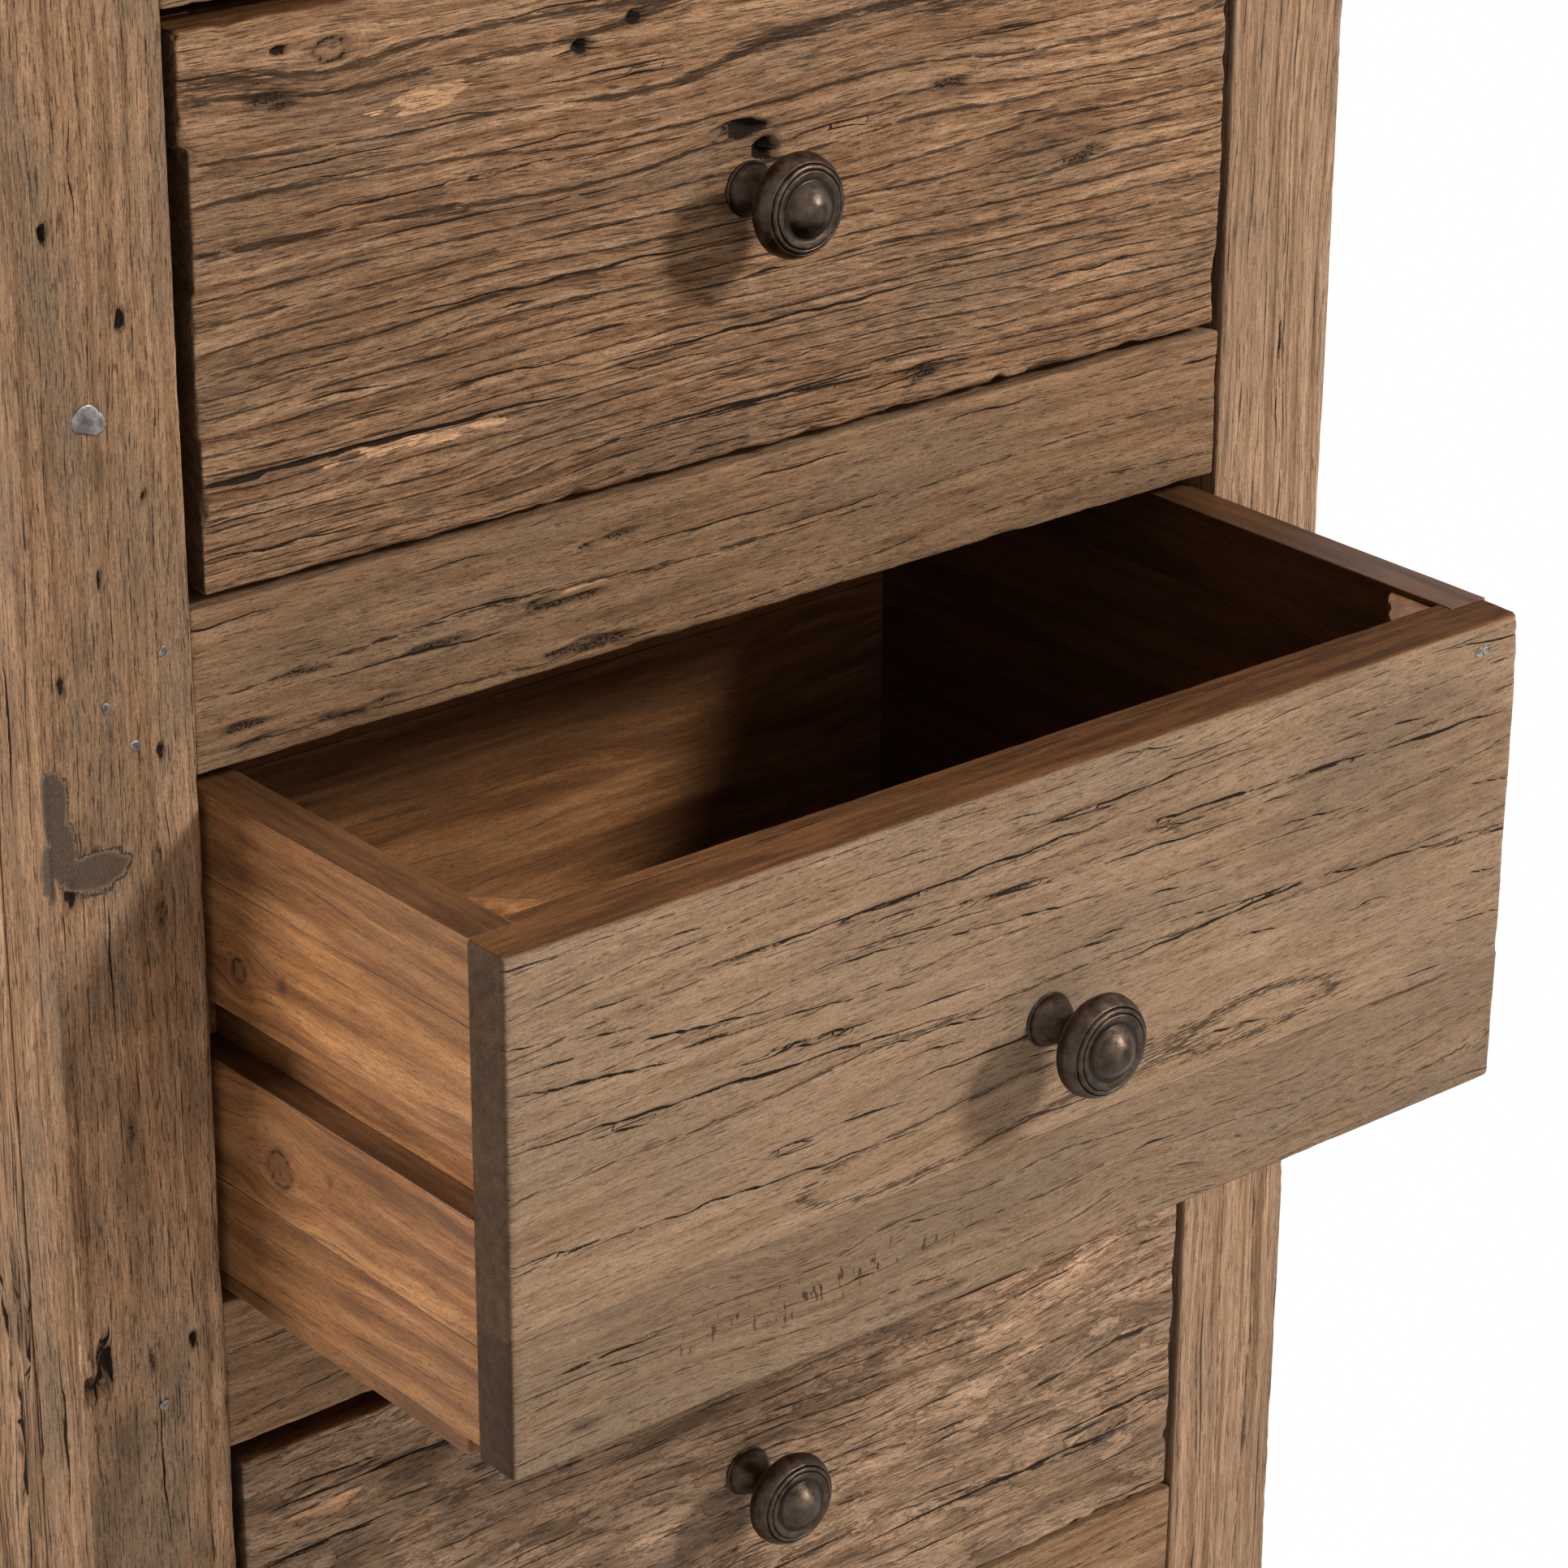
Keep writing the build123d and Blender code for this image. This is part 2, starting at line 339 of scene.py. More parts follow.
# A worn board: sizes of its unevenness in millimetres, limits of its edges' wear, the spread of the fibres'
# bend round a knot as shares of the knot, and how far apart two boards' fibres are in the noise
broad_wear, fine_wear = (16, 16, 16), (5, 5, 5)
wear_limits = (0.3, 2.4)
bend_width, bend_length = 34.0, 120.0
knot_bend_length, knot_bend_width = 2.6, 2.2
ring_drift, ring_patch, ridge_size = (60, 9, 9), (90, 14, 14), (26, 1.6, 1.6)
grain_apart = 311.0


def worn_shape(board, low, high, rest, seed):
    """Points of a box with rounded, unevenly worn edges, and the direction that each one looks in."""
    worn = noise(rest, broad_wear, seed) + 0.6 * noise(rest, fine_wear, seed + 1)
    uneven = 1 + board.ragged * (0.5 * worn + 1.6 * np.clip(worn - 0.2, 0, 1))
    radius = board.rounding * np.clip(uneven, *wear_limits)
    radius = np.minimum(radius, (high - low).min() * edge_limit)[:, None]
    rounded = np.ones((2, 3))
    for axis, sign in board.sharp:
        rounded[(sign + 1) // 2, axis] = 0
    core = np.clip(rest, low + radius * rounded[0], high - radius * rounded[1])
    normal = rest - core
    held = np.abs(normal).max(axis=1) < tiny
    for axis, sign in board.sharp:
        at_face = rest[:, axis] == (high if sign > 0 else low)[axis]
        normal[at_face & (np.abs(normal).max(axis=1) < tiny), axis] = sign
    normal /= np.linalg.norm(normal, axis=1, keepdims=True)
    return core + np.where(held[:, None], 0, normal * radius), normal


def fibre_places(board, marks, low, high, rest, sizes, seed):
    """Each point's place along the fibres, out from the pith and round it."""
    through, sign = board.face
    across = third_axis(board.along, through)
    fibre = rest - (low + high) / 2
    run = fibre[:, board.along]
    bend = noise(rest, sizes, seed + 2) + 0.35 * noise(rest, sizes / 3, seed + 3)
    side = fibre[:, across] + board.warp * bend + board.tilt * run
    for mark in marks:
        if mark.kind == "knot":
            along = (rest[:, board.along] - mark.along) / (mark.length * knot_bend_length)
            off = rest[:, across] - mark.across
            side = side - off * 0.8 * np.exp(-(along**2) - (off / (mark.width * knot_bend_width)) ** 2)
    deep = sign * ((high if sign > 0 else low)[through] - rest[:, through])
    side, deep = side - board.pith[0], deep + board.pith[1]
    return run, np.hypot(side, deep), np.arctan2(side, deep) * math.hypot(*board.pith)


# between these shares of its direction a point comes to lie on a face
on_face = (0.45, 0.85)


def by_face(amounts, normal):
    """For each point the amount that is given for the face it lies on."""
    total = np.zeros(len(normal))
    for (axis, sign), amount in amounts.items():
        total += amount * step_up(normal[:, axis] * sign, *on_face)
    return total


def board_skin(board):
    """Points, faces, face axes and the surface values of one worn board."""
    low, high = np.array(board.low, float), np.array(board.high, float)
    through = board.face[0]
    steps = dict(zip((board.along, third_axis(board.along, through), through), board.step))
    edge = board.rounding * edge_spread
    rest, quads, axes = box_grid([grid_lines(low[axis], high[axis], steps[axis], edge) for axis in range(3)])
    seed = board.seed * 17
    points, normal = worn_shape(board, low, high, rest, seed)
    flat = np.abs(normal).max(axis=1) ** 4
    marks = board.marks + random_cracks(board, seed)
    sizes = np.full(3, bend_width)
    sizes[board.along] = bend_length
    run, out, turn = fibre_places(board, marks, low, high, rest, sizes, seed)
    grain = np.stack([run, out, turn], axis=1) + grain_apart * board.seed
    # relief: slow waves, the rings' ridges, coarse fibres and the marks
    hollow = board.wave * (0.5 + noise(rest, sizes * 1.3, seed + 4))
    ring = 0.5 + 0.5 * np.cos(2 * math.pi * (out / board.ring + 1.3 * noise(grain, ring_drift, seed + 5)))
    ridges = 0.5 + noise(grain, ridge_size, seed + 6)
    ring_depth = 0.6 + noise(grain, ring_patch, seed + 7)
    hollow += board.ridge * flat * (0.75 * ring * ring_depth + 0.9 * ridges)
    values, split = all_marks(marks, board, rest, normal, seed + 20)
    hollow = hollow * (1 - step_up(values["putty"], 0, 0.3)) + values["depth"]
    points = points - normal * np.clip(hollow, 0, (high - low)[through] * 0.4)[:, None]
    # colour: cloudy, paler at the edges, and lighter where marks paint light
    cloud = noise(rest, sizes * 0.9, seed + 8) + 0.5 * noise(rest, sizes * 0.35, seed + 9)
    value = board.value + 0.10 * cloud + values["bright"] + board.edge_light * (1 - flat)
    value += by_face(board.shades, normal)
    grey = np.clip(board.grey + values["grey"] + 0.8 * noise(rest, sizes * 0.7, seed + 10), 0, 1)
    end = np.abs(normal[:, board.along])
    # The wear values hold chips, stains with the painted shadow on drawer 4's front among them, and filler.
    # The look values hold lightness with the painted light of the lightening marks, greyness, and how far a
    # face is varnished dark, which also paints shade inside the drawers.
    attributes = {
        "grain": grain,
        "split": np.column_stack([split, end]),
        "wear": np.stack([values["pale"], values["stain"], values["putty"] - values["ripple"]], axis=1),
        "look": np.stack([value, grey, by_face(board.varnish, normal)], axis=1),
    }
    if board.shape:
        points = board.shape(points)
    return points, quads, axes, rest, attributes


# gap between the faces on a flat map
map_gap = 1.0


def face_map(board, quads, axes, rest, start):
    """Places of a board's faces on a flat map: one row for each long side, one for both ends."""
    low, size = np.array(board.low), np.array(board.high) - board.low
    first, second = (axis for axis in range(3) if axis != board.along)
    spots = np.zeros((len(quads), 4, 2))
    for axis, side in product(range(3), (0, 1)):
        chosen = axes == axis * 2 + side
        corner = rest[quads[chosen]] - low
        if axis == board.along:
            spots[chosen, :, 0] = corner[..., first] + side * (size[first] + map_gap)
            spots[chosen, :, 1] = corner[..., second] + start
            continue
        across = third_axis(board.along, axis)
        row = start + size[second] + map_gap + side * (size[across] + map_gap)
        if axis == first:
            row += 2 * (size[first] + map_gap)
        spots[chosen, :, 0] = corner[..., board.along]
        spots[chosen, :, 1] = corner[..., across] + row
    return spots, start + size[second] * 3 + size[first] * 2 + 5 * map_gap


def new_object(name, data):
    """An object of a mesh, lamp or camera, in the scene."""
    thing = bpy.data.objects.new(name, data)
    bpy.context.scene.collection.objects.link(thing)
    return thing


def mesh_object(name, points, quads, spots, attributes, material):
    """A smooth mesh object from arrays in millimetres."""
    mesh = bpy.data.meshes.new(name)
    mesh.vertices.add(len(points))
    mesh.vertices.foreach_set("co", (points * MM).astype(np.float32).ravel())
    mesh.loops.add(quads.size)
    mesh.loops.foreach_set("vertex_index", quads.astype(np.int32).ravel())
    mesh.polygons.add(len(quads))
    mesh.polygons.foreach_set("loop_start", np.arange(0, quads.size, quads.shape[1], dtype=np.int32))
    mesh.polygons.foreach_set("use_smooth", np.ones(len(quads), bool))
    mesh.update(calc_edges=True)
    layer = mesh.uv_layers.new(name="OFBake")
    layer.data.foreach_set("uv", (spots / spots.reshape(-1, 2).max(axis=0)).astype(np.float32).ravel())
    for key, values in attributes.items():
        attribute = mesh.attributes.new(key, "FLOAT_VECTOR", "POINT")
        attribute.data.foreach_set("vector", values.astype(np.float32).ravel())
    mesh.materials.append(material)
    return new_object(name, mesh)


record = frame["record"]
body_of = {node: body for body, nodes in record["behaviour"]["bodies"].items() for node in nodes}


def corners(node):
    """Lowest and highest corner of a node at rest, in millimetres."""
    return [np.array(corner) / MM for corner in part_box(node)]


def board_in(node, spans, along, face, **look):
    """A board that fills a node's box, cut down to a span along each of some axes."""
    low, high = corners(node)
    for axis, span in spans.items():
        low[axis], high[axis] = span
    return Board(low, high, along, face, **look)


def stand_for(piece, node):
    """Hides a node and puts the piece that stands in its place on the node's body."""
    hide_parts(node)
    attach(piece, body_of[node])
    return piece


def wooden(node, boards, material):
    """One piece made of one or more boards, which stands for a node."""
    parts = []
    start = count = 0
    for board in boards:
        points, quads, axes, rest, attributes = board_skin(board)
        spots, start = face_map(board, quads, axes, rest, start)
        parts.append((points, quads + count, spots, attributes))
        count += len(points)
    attributes = {key: np.concatenate([part[3][key] for part in parts]) for key in parts[0][3]}
    joined = [np.concatenate([part[index] for part in parts]) for index in range(3)]
    return stand_for(mesh_object(node + "_wood", *joined, attributes, material), node)


# Materials

class Nodes:
    """A node tree, with a short call for each kind of node that is used often."""

    def __init__(self, tree):
        self.tree = tree

    def fill(self, node, inputs):
        """Sets a node's inputs, by name or number, to values or links them to other nodes' outputs."""
        for key, value in inputs.items():
            if isinstance(value, bpy.types.NodeSocket):
                self.tree.links.new(value, node.inputs[key])
            else:
                node.inputs[key].default_value = value

    def add(self, kind, inputs=None, output=0, **settings):
        """Adds a node with its settings and inputs, and returns one of its outputs."""
        node = self.tree.nodes.new("ShaderNode" + kind)
        for key, value in settings.items():
            setattr(node, key, value)
        self.fill(node, inputs or {})
        return node.outputs[output]

    def attribute(self, name):
        """The three values of a vector that is stored on the mesh."""
        vector = self.add("Attribute", output="Vector", attribute_name=name)
        return self.add("SeparateXYZ", {0: vector}).node.outputs

    def maths(self, operation, *values):
        return self.add("Math", dict(enumerate(values)), operation=operation)

    plus = partialmethod(maths, "ADD")
    minus = partialmethod(maths, "SUBTRACT")
    times = partialmethod(maths, "MULTIPLY")
    most = partialmethod(maths, "MAXIMUM")
    least = partialmethod(maths, "MINIMUM")
    size = partialmethod(maths, "ABSOLUTE")

    def swing(self, level, amount):
        """Noise from 0 to 1 turned into values round 0."""
        return self.times(self.minus(level, 0.5), amount)

    def between(self, value, low, high, to_low=0.0, to_high=1.0):
        """Smooth step of a value between two bounds."""
        inputs = {"Value": value, "From Min": low, "From Max": high, "To Min": to_low, "To Max": to_high}
        return self.add("MapRange", inputs, interpolation_type="SMOOTHSTEP")

    def mix(self, share, first, second, blend="MIX"):
        """A mix of two colours."""
        return self.add("Mix", {0: share, 6: first, 7: second}, 2, data_type="RGBA", blend_type=blend)

    def tint(self, colour, factor):
        """A colour made lighter or darker by a number."""
        return self.mix(1.0, colour, self.add("CombineXYZ", {0: factor, 1: factor, 2: factor}), "MULTIPLY")

    def relief(self, height, depth):
        """Bumps whose depth, in millimetres, is that of a height of 1."""
        return self.add("Bump", {"Height": height, "Distance": depth * MM, "Strength": 1.0})

    def fibre_noise(self, grain, length, width, detail=4.0, roughness=0.6, shift=0.0):
        """Noise drawn out along the fibres, with its length and width in millimetres."""
        sizes = (1 / length, 1 / width, 1 / width)
        drawn = self.add("VectorMath", {0: grain, 1: sizes, 2: [shift] * 3}, operation="MULTIPLY_ADD")
        return self.add("TexNoise", {"Vector": drawn, "Scale": 1.0, "Detail": detail, "Roughness": roughness})

    def streaks(self, grain, streak, fade, **settings):
        """Streaks along the fibres where noise passes a bound, as strong as the streak's values say."""
        *sizes, bound, strength = streak
        level = self.fibre_noise(grain, *sizes, **settings)
        return self.between(level, bound, bound + fade, 0.0, strength)


def new_material(name):
    """A node material, its surface shader's node and its nodes."""
    material = bpy.data.materials.new(name)
    material.use_nodes = True
    return material, material.node_tree.nodes["Principled BSDF"], Nodes(material.node_tree)


@dataclass
class Finish:
    """How a kind of wood looks. Pores, checks and flakes: length, width, level of noise and strength.
    Lines that follow the rings: spacing, half width, level of noise and strength."""
    tones: tuple
    grey: tuple
    pore: tuple
    check: tuple
    lines: tuple
    figure: tuple = (90.0, 4.0)
    fibre: tuple = (14.0, 1.2, 0.4)
    speckle: float = 0.2
    flakes: tuple = None
    rippled: bool = False
    soot: float = 0.3
    relief: float = 0.35
    roughness: float = 0.78
    specular: float = 0.12


crack_colour, pale_colour, painted_shade_and_stain_colour = srgb(30, 20, 12), srgb(180, 138, 102), srgb(50, 37, 27)
soot_colour, putty_colour, filler_rim_colour = srgb(70, 58, 47), srgb(80, 65, 52), srgb(116, 97, 80)
# ends of the varnished layer's colour, which also paints the shade inside the drawers
dark_varnish, light_varnish = srgb(68, 41, 19), srgb(101, 65, 36)
grime_colour, floor_colour = srgb(34, 25, 18), srgb(236, 235, 233)

# Lengths and widths of the layers that all woods share, in millimetres
speck_size, cloud_size, smoke_size, fold_size = (1.0, 0.5), (60.0, 16.0), (26.0, 7.0), (1.7, 7.0)
sway_length, groove_run = 220.0, 20.0

# Levels between which the layers fade in
figure_stops = (0.34, 0.5, 0.66)
crack_edge, crack_start, splinter_edge, pit_edge = (-0.08, 0.12), (0.0, 0.1), (0.35, 0.65), (0.82, 0.94)
grey_edge, coat_edge, smoke_edge, fold_edge = (0.35, 0.62), (0.36, 0.64), (0.52, 0.75), (0.6, 0.66)
filler_rim, filler_edge, seam_start, seam_gaps = (0.1, 0.6), (0.12, 0.22), (0.01, 0.06), (0.4, 0.55)


def ring_grooves(nodes, grain, fibres, lines):
    """Grooves that follow the rings, and come and go along them."""
    spacing, half_width, bound, strength = lines
    sway = nodes.fibre_noise(grain, sway_length, 8 * spacing, detail=1.0, roughness=0.55, shift=53.0)
    out = nodes.add("SeparateXYZ", {0: grain}).node.outputs[1]
    phase = nodes.plus(nodes.maths("DIVIDE", out, spacing), nodes.times(sway, 2.0))
    apart = nodes.size(nodes.minus(nodes.maths("FRACT", phase), 0.5))
    apart = nodes.plus(apart, nodes.swing(fibres, 0.24))
    present = nodes.fibre_noise(grain, groove_run, spacing, detail=3.0, roughness=0.65, shift=61.0)
    reach = nodes.between(present, bound, bound + 0.16, 0.01, half_width / spacing)
    return nodes.between(apart, 0.0, reach, strength, 0.0)


def wood_material(name, finish):
    """Wood whose colour, pores, cracks and relief follow the fibres stored on the mesh."""
    material, shader, nodes = new_material(name)
    between, mix, swing, size = nodes.between, nodes.mix, nodes.swing, nodes.size
    plus, minus, times, most = nodes.plus, nodes.minus, nodes.times, nodes.most
    grain = nodes.add("Attribute", output="Vector", attribute_name="grain")
    layer = partial(nodes.fibre_noise, grain)
    off, opening, end = nodes.attribute("split")
    pale, stain, putty = nodes.attribute("wear")
    value, grey, varnish = nodes.attribute("look")
    *fibre_size, contrast = finish.fibre
    fibres = layer(*fibre_size, roughness=0.72, shift=7.0)
    figure = layer(*finish.figure, roughness=0.62)
    specks = layer(*speck_size, detail=2.0, shift=97.0)
    clouds = layer(*cloud_size, shift=43.0)
    pores = nodes.streaks(grain, finish.pore, 0.1, detail=2.0, roughness=0.55, shift=19.0)
    checks = nodes.streaks(grain, finish.check, 0.035, detail=2.5, roughness=0.5, shift=31.0)
    # the wood's own colour, greyed in clouds
    ramp = nodes.add("ValToRGB", {0: figure}).node
    ramp.color_ramp.elements.new(figure_stops[1])
    for stop, place, tone in zip(ramp.color_ramp.elements, figure_stops, finish.tones):
        stop.position = place
        stop.color = srgb(*tone)
    colour = mix(times(grey, between(clouds, *grey_edge)), ramp.outputs[0], srgb(*finish.grey))
    if finish.flakes:
        *flake_size, bound, strength = finish.flakes
        flakes = layer(*flake_size, shift=83.0)
        colour = mix(between(flakes, bound, bound + 0.02, 0.0, strength), colour, srgb(*finish.tones[-1]))
        rim = size(minus(flakes, bound - 0.012))
        pores = most(pores, between(rim, 0.004, 0.016, strength, 0.0))
    # broken places, varnished faces, fibres, soot, and stains and grime with painted shade among them
    splinter = between(plus(pale, swing(fibres, 1.2)), *splinter_edge)
    colour = mix(splinter, colour, pale_colour)
    # varnished faces take this colour, which also paints shade on a drawer's inner faces
    coat_and_painted_shade = mix(between(figure, *coat_edge), dark_varnish, light_varnish)
    colour = mix(varnish, colour, coat_and_painted_shade)
    # lightness, which carries the light that some marks paint
    lightness = plus(value, 1.0)
    shade = between(fibres, 0.3, 0.7, 1 - contrast, 1 + contrast)
    speck = between(specks, 0.25, 0.75, 1 - finish.speckle, 1 + finish.speckle)
    colour = nodes.tint(colour, times(times(shade, speck), lightness))
    smoke = layer(*smoke_size, roughness=0.7, shift=71.0)
    colour = mix(between(smoke, *smoke_edge, 0.0, finish.soot), colour, soot_colour)
    colour = mix(pores, colour, painted_shade_and_stain_colour)
    # stains and grime, which also paint the open drawer's shadow on drawer 4's front
    dirt_and_painted_shade = nodes.least(times(stain, 0.85), 0.8)
    colour = mix(times(dirt_and_painted_shade, between(fibres, 0.25, 0.6, 0.55, 1.0)), colour, painted_shade_and_stain_colour)
    # filled places, with a dark seam round them
    uneven = swing(specks, 1.4)
    filler = mix(between(putty, *filler_rim), filler_rim_colour, putty_colour)
    filler = nodes.tint(filler, times(between(specks, 0.3, 0.7, 0.76, 1.2), lightness))
    brim = plus(putty, times(uneven, 0.4))
    filled = between(brim, *filler_edge)
    colour = mix(filled, colour, filler)
    seam = between(size(minus(brim, filler_edge[0])), 0.02, 0.1, 0.75, 0.0)
    seam = times(times(seam, between(putty, *seam_start)), between(clouds, *seam_gaps))
    # cracks, grooves and pits
    inside = plus(minus(opening, size(off)), swing(specks, 0.5))
    deep = times(between(inside, *crack_edge), between(opening, *crack_start))
    pits = between(plus(stain, uneven), *pit_edge)
    grooves = ring_grooves(nodes, grain, fibres, finish.lines)
    cut = times(most(checks, grooves), minus(1.0, end))
    cut = most(cut, most(deep, pits))
    if finish.rippled:
        folds = layer(*fold_size, detail=3.0, shift=107.0)
        cut = most(cut, times(between(folds, *fold_edge, 0.0, 0.75), between(putty, -0.1, -0.9)))
    bare = minus(1.0, most(filled, varnish))
    cut = most(times(cut, bare), seam)
    height = times(minus(times(fibres, 0.7), times(pores, 0.55)), bare)
    height = minus(plus(height, times(specks, 0.5)), cut)
    nodes.fill(shader, {
        "Base Color": mix(cut, colour, crack_colour),
        "Roughness": between(clouds, 0.3, 0.7, finish.roughness - 0.07, finish.roughness + 0.07),
        "Specular IOR Level": finish.specular,
        "Normal": nodes.relief(height, finish.relief),
    })
    return material


finishes = {
    "ridged": Finish(
        ((103, 72, 48), (135, 100, 71), (159, 123, 92)), (122, 97, 75), figure=(60.0, 2.6),
        pore=(8.0, 0.45, 0.56, 0.72), check=(70.0, 1.3, 0.70, 0.85), lines=(3.1, 0.3, 0.38, 0.8),
        fibre=(9.0, 0.7, 0.34), relief=0.45,
    ),
    "smooth": Finish(
        ((125, 97, 72), (140, 112, 86), (151, 123, 97)), (131, 108, 87), figure=(50.0, 3.0),
        pore=(6.0, 0.38, 0.58, 0.65), check=(40.0, 1.2, 0.76, 0.8), lines=(6.5, 0.25, 0.62, 0.7),
        fibre=(7.0, 0.5, 0.17), speckle=0.18, rippled=True, soot=0.15, relief=0.22,
    ),
    "mottled": Finish(
        ((94, 71, 52), (136, 107, 82), (164, 132, 105)), (113, 93, 76), figure=(34.0, 7.0),
        pore=(6.0, 0.5, 0.57, 0.62), check=(50.0, 1.6, 0.67, 0.9), lines=(4.4, 0.5, 0.50, 0.9),
        fibre=(9.0, 0.8, 0.32), flakes=(24.0, 6.0, 0.55, 0.5), soot=0.4,
    ),
    "post": Finish(
        ((113, 82, 55), (140, 106, 77), (160, 125, 95)), (122, 99, 78), figure=(90.0, 2.4),
        pore=(5.0, 0.42, 0.57, 0.72), check=(60.0, 0.9, 0.78, 0.8), lines=(6.0, 0.28, 0.60, 0.8),
        fibre=(11.0, 0.6, 0.27), soot=0.35,
    ),
    "panel": Finish(
        ((92, 65, 42), (138, 105, 77), (166, 131, 100)), (122, 98, 76), figure=(120.0, 3.4),
        pore=(9.0, 0.45, 0.57, 0.68), check=(120.0, 1.8, 0.66, 0.9), lines=(4.4, 0.5, 0.48, 0.85),
        fibre=(16.0, 0.8, 0.34), speckle=0.18,
    ),
    "pale_post": Finish(
        ((115, 86, 62), (149, 117, 90), (167, 134, 106)), (136, 112, 90), figure=(160.0, 2.6),
        pore=(9.0, 0.45, 0.58, 0.62), check=(140.0, 1.4, 0.70, 0.75), lines=(4.6, 0.3, 0.52, 0.7),
        fibre=(18.0, 0.7, 0.28), speckle=0.16, soot=0.1,
    ),
    "rail": Finish(
        ((108, 79, 54), (133, 100, 72), (149, 116, 86)), (124, 101, 78), figure=(60.0, 3.4),
        pore=(5.5, 0.4, 0.58, 0.68), check=(60.0, 1.2, 0.74, 0.85), lines=(6.0, 0.3, 0.58, 0.8),
        fibre=(8.0, 0.55, 0.22), speckle=0.18, relief=0.28,
    ),
    "drawer": Finish(
        ((102, 63, 32), (136, 89, 50), (165, 116, 72)), (128, 87, 52), figure=(70.0, 6.0),
        pore=(3.0, 0.4, 0.57, 0.5), check=(40.0, 1.0, 0.9, 0.5), lines=(9.0, 0.3, 0.72, 0.4),
        fibre=(12.0, 0.7, 0.2), speckle=0.16, soot=0.1, relief=0.1, roughness=0.52, specular=0.3,
    ),
    "inner": Finish(
        ((88, 56, 31), (122, 81, 50), (143, 99, 63)), (114, 81, 53),
        pore=(6.0, 0.4, 0.60, 0.4), check=(60.0, 1.2, 0.9, 0.5), lines=(9.0, 0.3, 0.72, 0.4),
        speckle=0.16, soot=0.15, relief=0.12, roughness=0.7,
    ),
}
woods = {name: wood_material("wood_" + name, finish) for name, finish in finishes.items()}

# Sizes of the clouds and pits on metal, as Blender's noise scales, and how metallic it is
metal_cloud_scale, metal_pit_scale = 260.0, 1500.0
metallic_share = 0.9


def metal_material(name, dark, light, roughness, pits):
    """Aged metal with cloudy colour, worn high places, grime in the hollows and small pits."""
    material, shader, nodes = new_material(name)
    place = nodes.add("TexCoord", output="Object")
    clouds, fine_pits = (
        nodes.add("TexNoise", {"Vector": place, "Scale": scale, "Detail": detail, "Roughness": mixed})
        for scale, detail, mixed in ((metal_cloud_scale, 5.0, 0.62), (metal_pit_scale, 3.0, 0.6))
    )
    _, worn, grime = nodes.attribute("wear")
    colour = nodes.mix(nodes.times(nodes.between(clouds, 0.32, 0.68), worn), srgb(*dark), srgb(*light))
    height = nodes.plus(nodes.times(fine_pits, 0.6), nodes.between(clouds, 0.5, 0.75))
    nodes.fill(shader, {
        "Base Color": nodes.mix(grime, colour, grime_colour),
        "Roughness": nodes.between(clouds, 0.25, 0.75, roughness - 0.08, roughness + 0.12),
        "Metallic": metallic_share,
        "Normal": nodes.relief(height, pits),
    })
    return material


bronze = metal_material("bronze", (54, 42, 33), (82, 68, 56), 0.37, 0.08)
nail_iron = metal_material("nail_iron", (92, 87, 84), (164, 158, 153), 0.45, 0.12)
steel = metal_material("steel", (96, 90, 84), (168, 164, 160), 0.42, 0.1)


# Turned pieces, each from an outline of radius and height in millimetres, and turned with a number of sides,
# a material and a roughness

knob_outline = np.array([
    (0.0, 0.0), (7.3, 0.0), (7.4, 0.8), (7.0, 2.0), (6.2, 3.4), (5.2, 5.4), (4.5, 7.4), (4.2, 9.4),
    (4.3, 11.6), (5.0, 13.4), (7.2, 15.0), (10.8, 16.2), (13.2, 17.3), (14.4, 19.0), (14.5, 20.6),
    (14.0, 22.2), (13.2, 23.6), (12.7, 24.2), (12.45, 24.2), (12.3, 23.9), (12.15, 24.3), (11.9, 24.9),
    (11.3, 25.2), (10.95, 25.1), (10.75, 24.8), (10.6, 25.2), (10.2, 25.5), (9.2, 25.35), (8.3, 25.1),
    (7.7, 25.25), (7.2, 25.8), (6.2, 27.0), (4.7, 28.4), (2.9, 29.5), (1.4, 29.9), (0.0, 30.0),
])
knob_turning = (96, bronze, 0.012)

screw_shank = ((0.0, 0.0), (2.0, 0.0), (2.0, 15.0))
# the screw's head, with heights back from its end
screw_head = ((2.0, -2.7), (3.9, -2.5), (4.0, -1.9), (3.6, -0.9), (2.4, -0.2), (0.0, 0.0))
screw_turning = (48, steel, 0.006)
slot_half_width, slot_depth, slot_reach = 0.6, 0.9, 1.5

# a nail's head, with its radii as shares of the largest
nail_outline = np.array([
    (0.0, -1.4), (0.9, -1.4), (1.0, -0.4), (1.0, 0.0), (0.93, 0.2), (0.7, 0.26), (0.3, 0.22), (0.0, 0.24),
])
nail_turning = (40, nail_iron, 0.04)

# sizes of the dents in turned pieces, and how the grime on them is spread and strengthened
broad_dent, fine_dent = (4.0, 4.0, 4.0), (1.6, 1.6, 1.6)
grime_blur, grime_gain = (0.25, 0.5, 0.25), 4


def smooth_outline(points, per_span):
    """A smooth line through outline points of radius and height, with the ends kept."""
    ends = np.concatenate([[2 * points[0] - points[1]], points, [2 * points[-1] - points[-2]]])
    before, start, end, after = (ends[first:len(points) - 1 + first, None] for first in range(4))
    t = (np.arange(per_span) / per_span)[:, None]
    curve = (end - before) * t + (2 * before - 5 * start + 4 * end - after) * t**2
    curve += (3 * start - before - 3 * end + after) * t**3
    return np.concatenate([(start + 0.5 * curve).reshape(-1, 2), points[-1:]])


